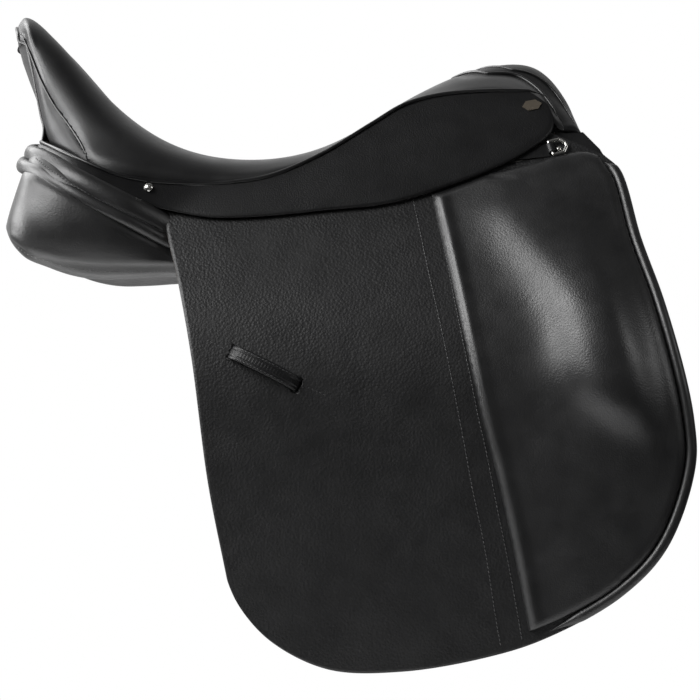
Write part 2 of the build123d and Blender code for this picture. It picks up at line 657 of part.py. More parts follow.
def make_bar():
    middle = bar_line(BAR_REAR) + BLADE_W / 2
    lap = 7.0
    half_way = (BAR_BLADE[0] + BAR_BLADE[1]) / 2
    blade = slope_plate(BAR_BLADE, -50.0, 120.0)
    blade = blade & bar_outline(BAR_REAR + lap + 1.4, BAR_FRONT, 0, BLADE_W)
    tongue = slope_plate((half_way - 0.15, BAR_BLADE[1]), -50.0, 120.0)
    tongue = tongue & bar_outline(BAR_REAR - lap, BAR_REAR + lap + 3, 0, BLADE_W)
    post = slope_plate((BAR_BLADE[1], BAR_PLATE[0]), -50.0, 120.0)
    post = post & bar_outline(BAR_FRONT - 10, BAR_FRONT, 0, BLADE_W)
    plate = slope_plate(BAR_PLATE, -50.0, 120.0) & bar_outline(128.0, BAR_FRONT, -5, 24)
    pin_hole = placed(Cylinder(CATCH_PIN_R + PIN_FIT, 30), BAR_REAR, middle)
    rivet = Pos(0, 0, 0.7) * Cylinder(3.2, 1.6)
    bar = blade + tongue + post + plate
    for x in (138.0, 166.0, 194.0):
        bar = bar + placed(rivet, x, bar_line(x) + 19.5, BAR_PLATE[0])
    keep_pair("stirrup_bar", bar - pin_hole)

    arm = slope_plate((BAR_BLADE[0], half_way + 0.15), -50.0, 120.0)
    arm = arm & bar_outline(BAR_REAR - CATCH_LEN, BAR_REAR + lap - 0.4, 0.2, BLADE_W - 0.2)
    heel = placed(Cylinder(lap - 0.8, 40), BAR_REAR, middle)
    reach = placed(Pos(-20, 0, 0) * Box(40, 40, 40), BAR_REAR, middle, turn=-14)
    arm = arm & (heel + reach)
    pin = placed(Pos(0, 0, -2.2) * Cylinder(CATCH_PIN_R, 4.4), BAR_REAR, middle, BAR_BLADE[0])
    keep_pair("bar_catch", arm + pin)


# --- hardware on the leather -----------------------------------------------------------
def dee_tab():
    """The tab that carries the dee, lying on the flap under the edge of the skirt."""
    x, z = DEE
    corners = [(x - 28, z - 8), (x - 1, z - 5), (x - 1, z + 5), (x - 28, z + 4), (x - 28, z - 8)]
    return slope_plate(CHAPE, 0.0, 110.0) & side_view(*as_lines(corners))


def make_dee():
    x, z = DEE
    half = DEE_H / 2
    wire = Wire.make_polygon([Vector(0, -half, 0), Vector(0, half, 0), Vector(DEE_W - 4, half, 0),
                              Vector(DEE_W, half - 5, 0), Vector(DEE_W, 5 - half, 0),
                              Vector(DEE_W - 4, -half, 0)], close=True)
    section = Plane(origin=(0, 0, 0), x_dir=(1, 0, 0), z_dir=(0, 1, 0)) * Circle(DEE_WIRE)
    ring = sweep(section, path=wire, transition=Transition.ROUND)
    keep_pair("dee_ring", placed(ring, x, z, DEE_STANDOFF, DEE_TURN))

    tab = dee_tab()
    barrel = Rot(90, 0, 0) * (Cylinder(3.1, 8.0) - Cylinder(DEE_WIRE + PIN_FIT, 10.0))
    tab = tab + placed(barrel, x, z, DEE_STANDOFF, DEE_TURN)
    bore = placed(Rot(90, 0, 0) * Cylinder(DEE_WIRE + PIN_FIT, 10.0), x, z, DEE_STANDOFF, DEE_TURN)
    keep_pair("dee_chape", tab - bore)


def dome(radius, height):
    """A domed nail head, standing on the XY plane."""
    ball = (radius**2 + height**2) / (2 * height)
    return Pos(0, 0, height - ball) * Sphere(ball) & Pos(0, 0, 10) * Box(40, 40, 20)


def make_nails():
    spot = Vector(-110.5, -135.4, 17.2)
    out = Vector(-0.22, -0.90, 0.37).normalized()
    seat = Plane(origin=spot + out * 1.5, x_dir=(1, 0, 0.3), z_dir=out)
    keep_pair("saddle_nail", seat.location * dome(NAIL_R, 2.2))
    plate = extrude(RegularPolygon(8.2, 6), amount=1.4)
    squeezed = scale(plate, by=(1.0, 0.66, 1.0))
    keep_pair("badge", placed(squeezed, *BADGE, SKIRT[0] + 0.1, 12.0))
    keep_pair("dee_nail", placed(dome(2.8, 1.8), DEE[0] + 6.6, DEE[1] + 1.2, 0.1, 0.0))


def main():
    make_tree()
    make_seat()
    make_webbing()
    make_panel()
    make_flap()
    make_skirt()
    make_sweat_flap()
    make_point_pocket()
    make_knee_pad()
    make_keeper()
    make_billets()
    make_bar()
    make_dee()
    make_nails()
    os.makedirs("parts", exist_ok=True)
    for name, shape in parts.items():
        export_step(shape, "parts/" + name + ".step")


if __name__ == "__main__":
    main()
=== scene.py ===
"""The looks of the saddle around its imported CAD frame. Lengths are in millimetres until a mesh is made."""

import math

import bmesh
import bpy
import numpy as np
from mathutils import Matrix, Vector
from mathutils.bvhtree import BVHTree


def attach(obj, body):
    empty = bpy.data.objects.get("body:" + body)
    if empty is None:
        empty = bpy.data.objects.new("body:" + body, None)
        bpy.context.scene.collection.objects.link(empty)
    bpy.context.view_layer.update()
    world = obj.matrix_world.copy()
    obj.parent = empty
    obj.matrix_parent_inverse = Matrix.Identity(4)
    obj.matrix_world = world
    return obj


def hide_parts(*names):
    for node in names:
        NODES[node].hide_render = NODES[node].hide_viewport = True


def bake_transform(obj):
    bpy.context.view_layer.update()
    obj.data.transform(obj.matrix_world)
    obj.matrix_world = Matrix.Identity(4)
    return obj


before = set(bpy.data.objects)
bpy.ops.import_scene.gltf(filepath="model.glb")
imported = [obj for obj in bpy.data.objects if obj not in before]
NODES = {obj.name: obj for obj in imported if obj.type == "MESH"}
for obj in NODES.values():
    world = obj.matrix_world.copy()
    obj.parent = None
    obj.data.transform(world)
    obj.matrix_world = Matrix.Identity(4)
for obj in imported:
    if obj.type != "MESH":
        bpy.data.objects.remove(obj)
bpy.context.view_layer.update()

MM = 0.001
SIDES = {"right": -1.0, "left": 1.0}
SEAT_HIDE, GUSSET_HIDE, BACK_HIDE = 2.4, 1.2, 2.0  # thickness of each leather
SKIRT_HIDE, FLAP_HIDE = 3.0, 3.5
SKIRT_OUT = 4.5  # the skirt's outer face, out from the guide surface
FOLDS = {"skirt": (-98.0, -1.5, 0.2175, SKIRT_OUT), "flap": (87.6, 1.4, 0.2705, 0.0)}  # x, z, rise, out

# --- the guide surface that every layered leather part hangs on ---
SLOPE = math.radians(30)
FOOT = math.radians(3)
HALF_WIDTH, BEND_TOP, BEND_R = 131.0, -60.0, 220.0
BEND_H = HALF_WIDTH - BEND_TOP * math.tan(SLOPE) - BEND_R * math.cos(SLOPE)
BEND_Z = BEND_TOP - BEND_R * math.sin(SLOPE)


def slope_h(z, n=0.0):
    """Distance from the centre plane on the straight slope, n out from the guide surface."""
    return HALF_WIDTH + n / math.cos(SLOPE) - z * math.tan(SLOPE)


def guide(z):
    """Distance from the centre plane and tilt of the guide surface, for an array of heights."""
    z = np.asarray(z, float)
    foot_z = BEND_Z + BEND_R * math.sin(FOOT)
    inside = np.clip(BEND_R**2 - (z - BEND_Z) ** 2, 0, None)
    arc = BEND_H + np.sqrt(inside)
    foot = BEND_H + BEND_R * math.cos(FOOT) + (foot_z - z) * math.tan(FOOT)
    h = np.where(z >= BEND_TOP, slope_h(z), np.where(z >= foot_z, arc, foot))
    tilt = np.arcsin(np.clip((z - BEND_Z) / BEND_R, math.sin(FOOT), math.sin(SLOPE)))
    return h, tilt


def hang(xz, n):
    """Points on the right-hand leather: side-view (x, z) moved out by n."""
    xz = np.asarray(xz, float)
    h, tilt = guide(xz[..., 1])
    n = np.broadcast_to(np.asarray(n, float), h.shape)
    return np.stack([xz[..., 0], -(h + n * np.cos(tilt)), xz[..., 1] + n * np.sin(tilt)], -1)


def hang_normal(xz):
    """The way out of the right-hand leather at side-view points."""
    _, tilt = guide(np.asarray(xz, float)[..., 1])
    return np.stack([np.zeros_like(tilt), -np.cos(tilt), np.sin(tilt)], -1)


# --- curves and grids ---
def smooth(points, count, closed=False):
    """A smooth curve through points, evenly spaced along its length."""
    p = np.asarray(points, float)
    if closed:
        p = np.vstack([p[-1:], p, p[:2]])
    else:
        p = np.vstack([2 * p[0] - p[1], p, 2 * p[-1] - p[-2]])
    out = []
    for a, b, c, d in zip(p, p[1:], p[2:], p[3:]):
        t1, t2, t3 = (max(np.linalg.norm(v), 1e-9) ** 0.5 for v in (b - a, c - b, d - c))
        m1 = ((b - a) / t1 - (c - a) / (t1 + t2) + (c - b) / t2) * t2
        m2 = ((c - b) / t2 - (d - b) / (t2 + t3) + (d - c) / t3) * t2
        s = np.linspace(0, 1, 33)[:-1, None]
        out.append((2 * s**3 - 3 * s**2 + 1) * b + (s**3 - 2 * s**2 + s) * m1
                   + (3 * s**2 - 2 * s**3) * c + (s**3 - s**2) * m2)
    out = np.vstack(out + [p[-2:-1]])
    return even(out, count)


def even(points, count):
    """The same line with evenly spaced points."""
    run = run_of(points)
    t = np.linspace(0, run[-1], count)
    return np.stack([np.interp(t, run, points[:, k]) for k in range(points.shape[1])], -1)


def table(xs, rows, at):
    """Smooth interpolation of rows of numbers given at rising xs."""
    xs, rows = np.asarray(xs, float), np.asarray(rows, float)
    flat = rows.reshape(len(xs), -1)
    slope = np.zeros_like(flat)
    d = np.diff(flat, axis=0) / np.diff(xs)[:, None]
    w = np.diff(xs)[:, None]
    slope[1:-1] = (d[:-1] * w[1:] + d[1:] * w[:-1]) / (w[1:] + w[:-1])
    slope[0], slope[-1] = d[0], d[-1]
    i = np.clip(np.searchsorted(xs, at, side="right") - 1, 0, len(xs) - 2)
    dx = xs[i + 1] - xs[i]
    s = ((at - xs[i]) / dx)[:, None]
    out = ((2 * s**3 - 3 * s**2 + 1) * flat[i] + (s**3 - 2 * s**2 + s) * slope[i] * dx[:, None]
           + (3 * s**2 - 2 * s**3) * flat[i + 1] + (s**3 - s**2) * slope[i + 1] * dx[:, None])
    return out.reshape((len(at),) + rows.shape[1:])


def coons(top, bottom, left, right):
    """A patch of points between four boundary lines; left and right run from top to bottom."""
    u = np.linspace(0, 1, len(top))[None, :, None]
    v = np.linspace(0, 1, len(left))[:, None, None]
    ruled_v = (1 - v) * top[None] + v * bottom[None]
    ruled_u = (1 - u) * left[:, None] + u * right[:, None]
    corner = ((1 - u) * (1 - v) * top[0] + u * (1 - v) * top[-1]
              + (1 - u) * v * bottom[0] + u * v * bottom[-1])
    return ruled_v + ruled_u - corner


def soften(g, times, wrap=False):
    """Evens out a grid of points; its first and last rows stay, and its side columns unless it wraps."""
    for _ in range(times):
        if wrap:
            around = np.roll(g, 1, axis=1) + np.roll(g, -1, axis=1)
            g[1:-1] = 0.5 * g[1:-1] + 0.125 * (around[1:-1] + g[:-2] + g[2:])
        else:
            near = g[:-2, 1:-1] + g[2:, 1:-1] + g[1:-1, :-2] + g[1:-1, 2:]
            g[1:-1, 1:-1] = 0.5 * g[1:-1, 1:-1] + 0.125 * near
    return g


def lengthwise(g, times):
    """Evens out a grid along its first direction only; its end rows stay."""
    for _ in range(times):
        g[1:-1] = 0.5 * g[1:-1] + 0.25 * (g[:-2] + g[2:])
    return g


def step(a, b, x):
    """Rises softly from 0 at a to 1 at b."""
    t = np.clip((x - a) / (b - a), 0, 1)
    return t * t * (3 - 2 * t)


def gauss(x, width):
    """A bump of height 1 around x = 0."""
    return np.exp(-((x / width) ** 2))


def unit(v, tiny=0.0):
    """Vectors along the last axis, brought to length 1."""
    return v / (np.linalg.norm(v, axis=-1, keepdims=True) + tiny)


def run_of(points):
    """Distance along a line at each of its points."""
    return np.concatenate([[0], np.cumsum(np.linalg.norm(np.diff(points, axis=0), axis=1))])


def averaged(points, reach):
    """A line with each point put at the middle of its neighbours."""
    return np.array([points[max(0, i - reach):i + reach + 1].mean(axis=0) for i in range(len(points))])


# --- mesh making ---
def add_mesh(name, verts, faces, materials, shade=True):
    """A new object from points in millimetres."""
    mesh = bpy.data.meshes.new(name)
    mesh.from_pydata([tuple(v) for v in np.asarray(verts) * MM], [], [tuple(f) for f in faces])
    mesh.validate()
    for material in materials:
        mesh.materials.append(material)
    mesh.polygons.foreach_set("use_smooth", [shade] * len(mesh.polygons))
    mesh.update()
    obj = bpy.data.objects.new(name, mesh)
    bpy.context.scene.collection.objects.link(obj)
    return obj


def grid_faces(rows, cols, wrap_cols=False, offset=0):
    """Quads between neighbouring points of a grid."""
    i = np.arange(rows - 1)[:, None]
    j = np.arange(cols if wrap_cols else cols - 1)[None, :]
    a = i * cols + j
    b = i * cols + (j + 1) % cols
    return np.stack([a, b, b + cols, a + cols], -1).reshape(-1, 4) + offset


def side_points(points, side):
    """Right-hand points, or their mirror image."""
    points = np.array(points, float)
    points[..., 1] *= -SIDES[side]
    return points


def sheet_mesh(outer, inner, rim=0.6):
    """A closed sheet between two grids of the same size, with a rounded rim."""
    rows, cols, _ = outer.shape
    flat_o, flat_i = outer.reshape(-1, 3), inner.reshape(-1, 3)
    faces = [grid_faces(rows, cols), grid_faces(rows, cols, offset=rows * cols)[:, ::-1]]
    idx = np.arange(rows * cols).reshape(rows, cols)
    loop = np.concatenate([idx[0, :-1], idx[:-1, -1], idx[-1, :0:-1], idx[:0:-1, 0]])
    mid = (flat_o[loop] + flat_i[loop]) / 2
    tangent = unit(np.roll(mid, -1, axis=0) - np.roll(mid, 1, axis=0), 1e-9)
    out = np.cross(tangent, unit(flat_o[loop] - flat_i[loop], 1e-9))
    if np.mean(np.einsum("ij,ij->i", out, mid - mid.mean(axis=0))) < 0:
        out = -out
    ring = np.arange(len(loop)) + 2 * rows * cols
    nxt, ring_nxt = np.roll(loop, -1), np.roll(ring, -1)
    faces += [np.stack([loop, ring, ring_nxt, nxt], -1),
              np.stack([ring, loop + rows * cols, nxt + rows * cols, ring_nxt], -1)]
    return np.vstack([flat_o, flat_i, mid + out * rim]), np.vstack(faces)


def frames(path):
    """Tangents and two normals carried along a line without twist."""
    path = np.asarray(path, float)
    tangent = unit(np.gradient(path, axis=0), 1e-12)
    first = np.cross(tangent[0], (0, 0, 1))
    if np.linalg.norm(first) < 0.1:
        first = np.cross(tangent[0], (0, 1, 0))
    normal = [unit(first)]
    for t in tangent[1:]:
        normal.append(unit(normal[-1] - t * np.dot(normal[-1], t)))
    normal = np.array(normal)
    return tangent, normal, np.cross(tangent, normal)


def tube_mesh(path, radius, sides=10, squash_n=1.0):
    """A capped tube along a line; the radius may change along it."""
    _, n1, n2 = frames(path)
    a = np.linspace(0, 2 * math.pi, sides, endpoint=False)
    r = np.broadcast_to(np.asarray(radius, float), (len(path),))[:, None, None]
    ring = n1[:, None] * np.cos(a)[None, :, None] + n2[:, None] * np.sin(a)[None, :, None] * squash_n
    points = np.asarray(path)[:, None] + ring * r
    faces = grid_faces(len(path), sides, wrap_cols=True)
    verts = np.vstack([points.reshape(-1, 3), path[0], path[-1]])
    last = (len(path) - 1) * sides
    caps = [[(k + 1) % sides, k, len(verts) - 2] for k in range(sides)]
    caps += [[last + k, last + (k + 1) % sides, len(verts) - 1] for k in range(sides)]
    return verts, [tuple(f) for f in faces] + [tuple(c) for c in caps]


# one thread from end to end: place along it, then width; and the angles round its top
PILL = np.array([(-0.5, 0.0), (-0.36, 0.8), (0.0, 1.0), (0.36, 0.8), (0.5, 0.0)])
ROUND = (0.0, 0.9, math.pi / 2, math.pi - 0.9, math.pi)


def stitch_mesh(paths, pitch=3.4, length=2.5, width=0.75, height=0.45, slant=0.12):
    """Short raised threads along lines. Each line is (points, normals)."""
    verts, faces = [], []
    for points, normals in paths:
        run = run_of(points)

        def place(values, s):
            return np.array([np.interp(s, run, values[:, c]) for c in range(3)])

        count = max(1, int(run[-1] / pitch))
        for k in range(count):
            s = (k + 0.5) * run[-1] / count
            at, up = place(points, s), place(normals, s)
            along = unit(place(points, s + 0.5) - place(points, s - 0.5), 1e-9)
            along = unit(along + np.cross(up, along) * slant)
            across = np.cross(up, along)
            base = len(verts)
            for t, w in PILL:
                for a in ROUND:
                    verts.append(at + along * t * length + across * math.cos(a) * w * width / 2
                                 + up * (math.sin(a) * w * height - 0.05))
            for i in range(len(PILL) - 1):
                for j in range(len(ROUND) - 1):
                    p = base + i * len(ROUND) + j
                    faces.append((p, p + 1, p + 1 + len(ROUND), p + len(ROUND)))
    return np.array(verts), faces


# --- materials ---
def material(name, color, roughness, build=None, **sockets):
    m = bpy.data.materials.new(name)
    m.use_nodes = True
    nodes, links = m.node_tree.nodes, m.node_tree.links
    shader = nodes["Principled BSDF"]
    shader.inputs["Base Color"].default_value = (*color, 1)
    shader.inputs["Roughness"].default_value = roughness
    for key, value in sockets.items():
        shader.inputs[key.replace("_", " ")].default_value = value
    if build:
        build(nodes, links, shader)
    return m


def coords(nodes, links, scale=(1, 1, 1)):
    where = nodes.new("ShaderNodeTexCoord")
    mapping = nodes.new("ShaderNodeMapping")
    mapping.inputs["Scale"].default_value = scale
    links.new(where.outputs["Object"], mapping.inputs["Vector"])
    return mapping.outputs["Vector"]


def noise(nodes, links, vector, scale, detail=4.0, rough=0.5):
    n = nodes.new("ShaderNodeTexNoise")
    n.inputs["Scale"].default_value = scale
    n.inputs["Detail"].default_value = detail
    n.inputs["Roughness"].default_value = rough
    links.new(vector, n.inputs["Vector"])
    return n.outputs["Fac"]


def ramp(nodes, links, value, low, high, a, b):
    r = nodes.new("ShaderNodeMapRange")
    for key, v in zip(("From Min", "From Max", "To Min", "To Max"), (low, high, a, b)):
        r.inputs[key].default_value = v
    links.new(value, r.inputs["Value"])
    return r.outputs["Result"]


def math_node(nodes, links, kind, a, b):
    n = nodes.new("ShaderNodeMath")
    n.operation = kind
    for socket, v in zip(n.inputs, (a, b)):
        if isinstance(v, (int, float)):
            socket.default_value = v
        else:
            links.new(v, socket)
    return n.outputs[0]


def bump(nodes, links, shader, height, strength, distance, before=None):
    b = nodes.new("ShaderNodeBump")
    b.inputs["Strength"].default_value = strength
    b.inputs["Distance"].default_value = distance
    links.new(height, b.inputs["Height"])
    if before is not None:
        links.new(before, b.inputs["Normal"])
    links.new(b.outputs["Normal"], shader.inputs["Normal"])
    return b.outputs["Normal"]


def tint(nodes, links, shader, value, dark, light):
    mix = nodes.new("ShaderNodeMix")
    mix.data_type = "RGBA"
    mix.inputs["A"].default_value = (*dark, 1)
    mix.inputs["B"].default_value = (*light, 1)
    links.new(value, mix.inputs["Factor"])
    links.new(mix.outputs["Result"], shader.inputs["Base Color"])


def leather_look(cell, depth, crease_depth, dark, light, rough):
    """Grained hide: cells of a given size in millimetres, with folds and worn patches."""

    def build(nodes, links, shader):
        v = coords(nodes, links)
        warp = nodes.new("ShaderNodeVectorMath")
        warp.operation = "MULTIPLY_ADD"
        links.new(noise(nodes, links, v, 260.0, 2.0).node.outputs["Color"], warp.inputs[0])
        warp.inputs[1].default_value = (0.0005,) * 3
        links.new(v, warp.inputs[2])
        cells = nodes.new("ShaderNodeTexVoronoi")
        cells.feature = "SMOOTH_F1"
        cells.inputs["Smoothness"].default_value = 0.35
        cells.inputs["Scale"].default_value = 1000.0 / cell
        cells.inputs["Randomness"].default_value = 0.95
        links.new(warp.outputs[0], cells.inputs["Vector"])
        dome = ramp(nodes, links, cells.outputs["Distance"], 0.05, 0.75, 1.0, 0.0)
        patch = noise(nodes, links, v, 14.0, 3.0)
        broad = noise(nodes, links, v, 45.0, 5.0, 0.6)
        fine = noise(nodes, links, v, 1500.0, 2.0)
        amount = ramp(nodes, links, patch, 0.3, 0.7, 0.45, 1.0)
        grain = math_node(nodes, links, "MULTIPLY_ADD", fine, 0.16)
        links.new(math_node(nodes, links, "MULTIPLY", dome, amount), grain.node.inputs[2])
        first = bump(nodes, links, shader, broad, crease_depth, 0.0016)
        bump(nodes, links, shader, grain, depth, 0.0005, first)
        links.new(ramp(nodes, links, broad, 0.3, 0.75, rough - 0.05, rough + 0.07),
                  shader.inputs["Roughness"])
        tint(nodes, links, shader, ramp(nodes, links, patch, 0.3, 0.7, 0.0, 1.0), dark, light)

    return build


BLACK = (0.0045, 0.0045, 0.0048)
SOFT = (0.0070, 0.0070, 0.0074)


def hide(name, cell, grain, crease, rough, shine, dark=BLACK, light=SOFT):
    """Black leather: size of its cells, depth of grain and of creases, roughness and reflection."""
    return material(name, BLACK, 0.4, leather_look(cell, grain, crease, dark, light, rough),
                    Specular_IOR_Level=shine)


seat_leather = hide("seat_hide", 1.3, 0.10, 0.10, 0.41, 0.65)
# the cantle gusset is the same black leather as the seat, painted lighter to stand in for the light falling
# on it from the left and behind
gusset_leather_painted_light = hide("cantle_hide_painted_light", 1.1, 0.08, 0.12, 0.40, 0.36,
                      (0.009, 0.009, 0.0095), (0.013, 0.013, 0.0135))
skirt_leather = hide("skirt_hide", 1.2, 0.30, 0.06, 0.43, 0.34)
flap_leather = hide("flap_hide", 2.1, 0.42, 0.03, 0.47, 0.55,
                    (0.0042, 0.0042, 0.0045), (0.0068, 0.0068, 0.0072))
pad_leather = hide("pad_hide", 1.4, 0.22, 0.12, 0.42, 0.85)
panel_leather = hide("panel_hide", 1.5, 0.16, 0.26, 0.42, 0.75,
                     (0.006, 0.006, 0.0063), (0.009, 0.009, 0.0093))
strap_leather = hide("strap_hide", 0.9, 0.18, 0.05, 0.42, 0.36)
pommel_leather = hide("pommel_hide", 1.1, 0.12, 0.08, 0.44, 0.2)
piping_leather = hide("piping_hide", 0.8, 0.06, 0.05, 0.33, 0.6)


def edge_build(nodes, links, shader):
    v = coords(nodes, links)
    fibres = noise(nodes, links, v, 700.0, 6.0, 0.7)
    patch = noise(nodes, links, v, 30.0, 3.0)
    tint(nodes, links, shader, ramp(nodes, links, patch, 0.35, 0.65, 0.0, 1.0),
         (0.016, 0.013, 0.011), (0.060, 0.040, 0.026))
    bump(nodes, links, shader, fibres, 0.5, 0.0004)


raw_edge = material("cut_edge", (0.03, 0.02, 0.015), 0.6, edge_build)


def back_build(nodes, links, shader):
    v = coords(nodes, links)
    nap = noise(nodes, links, v, 800.0, 5.0, 0.7)
    patch = noise(nodes, links, v, 20.0, 4.0)
    tint(nodes, links, shader, ramp(nodes, links, patch, 0.3, 0.7, 0.0, 1.0),
         (0.012, 0.011, 0.011), (0.026, 0.024, 0.023))
    bump(nodes, links, shader, nap, 0.4, 0.0005)


flesh_side = material("flesh_side", (0.02, 0.02, 0.02), 0.75, back_build, Sheen_Weight=0.1)


def thread_build(nodes, links, shader):
    v = coords(nodes, links)
    bump(nodes, links, shader, noise(nodes, links, v, 2600.0, 2.0), 0.4, 0.0002)


thread_black = material("thread_black", (0.045, 0.045, 0.046), 0.38, thread_build, Specular_IOR_Level=0.7)
thread_grey = material("thread_grey", (0.16, 0.16, 0.155), 0.5, thread_build)


def metal_build(nodes, links, shader):
    v = coords(nodes, links)
    wear = noise(nodes, links, v, 180.0, 4.0)
    links.new(ramp(nodes, links, wear, 0.3, 0.7, 0.16, 0.30), shader.inputs["Roughness"])
    bump(nodes, links, shader, noise(nodes, links, v, 160.0, 2.0), 0.03, 0.0002)


nickel = material("nickel", (0.66, 0.65, 0.62), 0.22, metal_build, Metallic=1.0)
pewter = material("pewter", (0.17, 0.145, 0.115), 0.42, metal_build, Metallic=0.55)
dark_steel = material("blued_steel", (0.20, 0.21, 0.23), 0.35, metal_build, Metallic=1.0)


def wood_build(nodes, links, shader):
    v = coords(nodes, links, (12, 60, 60))
    wave = noise(nodes, links, v, 6.0, 5.0, 0.6)
    tint(nodes, links, shader, ramp(nodes, links, wave, 0.35, 0.65, 0.0, 1.0),
         (0.30, 0.17, 0.08), (0.52, 0.34, 0.18))
    bump(nodes, links, shader, wave, 0.15, 0.0006)


beech = material("beech", (0.45, 0.3, 0.16), 0.5, wood_build)


def webbing_build(nodes, links, shader):
    v = coords(nodes, links)
    weave = nodes.new("ShaderNodeTexChecker")
    weave.inputs["Scale"].default_value = 700.0
    links.new(v, weave.inputs["Vector"])
    tint(nodes, links, shader, weave.outputs["Fac"], (0.36, 0.31, 0.22), (0.52, 0.46, 0.35))
    bump(nodes, links, shader, weave.outputs["Fac"], 0.4, 0.0006)


linen = material("linen_web", (0.5, 0.44, 0.33), 0.8, webbing_build)


def foam_build(nodes, links, shader):
    v = coords(nodes, links)
    pores = nodes.new("ShaderNodeTexVoronoi")
    pores.inputs["Scale"].default_value = 700.0
    links.new(v, pores.inputs["Vector"])
    bump(nodes, links, shader, pores.outputs["Distance"], 0.5, 0.0008)
    tint(nodes, links, shader, noise(nodes, links, v, 25.0), (0.55, 0.46, 0.22), (0.70, 0.62, 0.36))


foam = material("seat_foam_look", (0.65, 0.55, 0.3), 0.9, foam_build)


# --- shape helpers ---
def applied(obj):
    """Its modifiers made part of the mesh."""
    deps = bpy.context.evaluated_depsgraph_get()
    mesh = bpy.data.meshes.new_from_object(obj.evaluated_get(deps))
    obj.modifiers.clear()
    obj.data = mesh
    return obj


def thicken(obj, depth, rim_slot=0, even_offset=True):
    m = obj.modifiers.new("thick", "SOLIDIFY")
    m.thickness, m.offset, m.material_offset_rim = depth * MM, -1.0, rim_slot
    m.use_even_offset = even_offset
    return applied(obj)


def facing(verts, faces, hint):
    """The faces, turned over if they mostly look away from hint."""
    v, f = np.asarray(verts), np.asarray(faces)
    n = np.cross(v[f[:, 1]] - v[f[:, 0]], v[f[:, 2]] - v[f[:, 0]])
    return f if (n @ np.asarray(hint, float)).sum() > 0 else f[:, ::-1]


def outward(obj):
    """Faces of a closed mesh turned to look outwards."""
    bm = bmesh.new()
    bm.from_mesh(obj.data)
    bmesh.ops.recalc_face_normals(bm, faces=bm.faces)
    bm.to_mesh(obj.data)
    bm.free()
    return obj


def inside(polygon, points):
    """Which side-view points lie within a polygon."""
    p, q = np.asarray(points, float), np.asarray(polygon, float)
    hit = np.zeros(len(p), bool)
    for (x1, z1), (x2, z2) in zip(q, np.roll(q, -1, axis=0)):
        if z1 != z2:
            cross = (z1 > p[:, 1]) != (z2 > p[:, 1])
            hit ^= cross & (p[:, 0] < (x2 - x1) * (p[:, 1] - z1) / (z2 - z1) + x1)
    return hit


def away(points, line):
    """Distance of each point from a line drawn with many points."""
    p, q = np.asarray(points, float), np.asarray(line, float)
    best = np.full(len(p), 1e9)
    for a in q:
        best = np.minimum(best, ((p - a) ** 2).sum(axis=1))
    return np.sqrt(best)


def tree_of(*objs):
    """Objects made ready for casting rays at."""
    verts, faces = [], []
    for o in objs:
        base = len(verts)
        verts += [v.co.copy() for v in o.data.vertices]
        faces += [[base + i for i in p.vertices] for p in o.data.polygons]
    return BVHTree.FromPolygons(verts, faces)


def onto(tree, xz, side, lift=0.0):
    """Side-view points dropped on to a surface from outside: points and normals."""
    s = SIDES[side]
    points, normals = [], []
    for x, z in np.asarray(xz, float):
        spot, normal, _, _ = tree.ray_cast(Vector((x * MM, s * 0.7, z * MM)), Vector((0, -s, 0)))
        if spot is None:
            spot, normal, _, _ = tree.find_nearest(Vector((x * MM, s * 0.15, z * MM)))
        if normal.y * s < 0 and normal.z < 0.5:
            normal = -normal
        points.append(np.array(spot) / MM + np.array(normal) * lift)
        normals.append(np.array(normal))
    return np.array(points), np.array(normals)


def piece(name, side, verts, faces, mats):
    """A closed mesh, named for its side."""
    return outward(add_mesh(f"{name}_{side}" if side else name, verts, faces, mats))


def tube(name, side, path, radius, mat, sides=10, squash_n=1.0):
    verts, faces = tube_mesh(path, radius, sides, squash_n)
    return piece(name, side, verts, faces, [mat])


def thread(name, side, lines, mat=None, **how):
    verts, faces = stitch_mesh(lines, **how)
    return add_mesh(f"{name}_{side}", verts, faces, [mat or thread_black])


def hung_line(points, count, n, side):
    """A line on the leather and its normals."""
    xz = smooth(points, count)
    up = hang_normal(xz)
    return side_points(hang(xz, n), side), side_points(up, side)


def fold_ends(kind, side, reach=9.0):
    """Where a fold starts and ends, in metres."""
    x, z, rise, n = FOLDS[kind]
    at = np.array([x, -slope_h(z, n), z])
    along = np.array([1, rise * math.tan(SLOPE), rise])
    out = np.array([0, -math.cos(SLOPE), math.sin(SLOPE)])
    down = np.cross(out, along)
    down *= (-1 if down[2] > 0 else 1) / np.linalg.norm(down)
    ends = side_points(np.array([at - down * reach, at + down * reach]), side) * MM
    return [tuple(e) for e in ends]


def bend(obj, kind, side):
    """Bakes the object's placement into its mesh; the ends of its fold are worked out but not used, so
    nothing bends or lifts.
    """
    start, end = fold_ends(kind, side)
    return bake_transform(obj)


def paint(node, mat):
    mesh = NODES[node].data
    mesh.materials.clear()
    mesh.materials.append(mat)


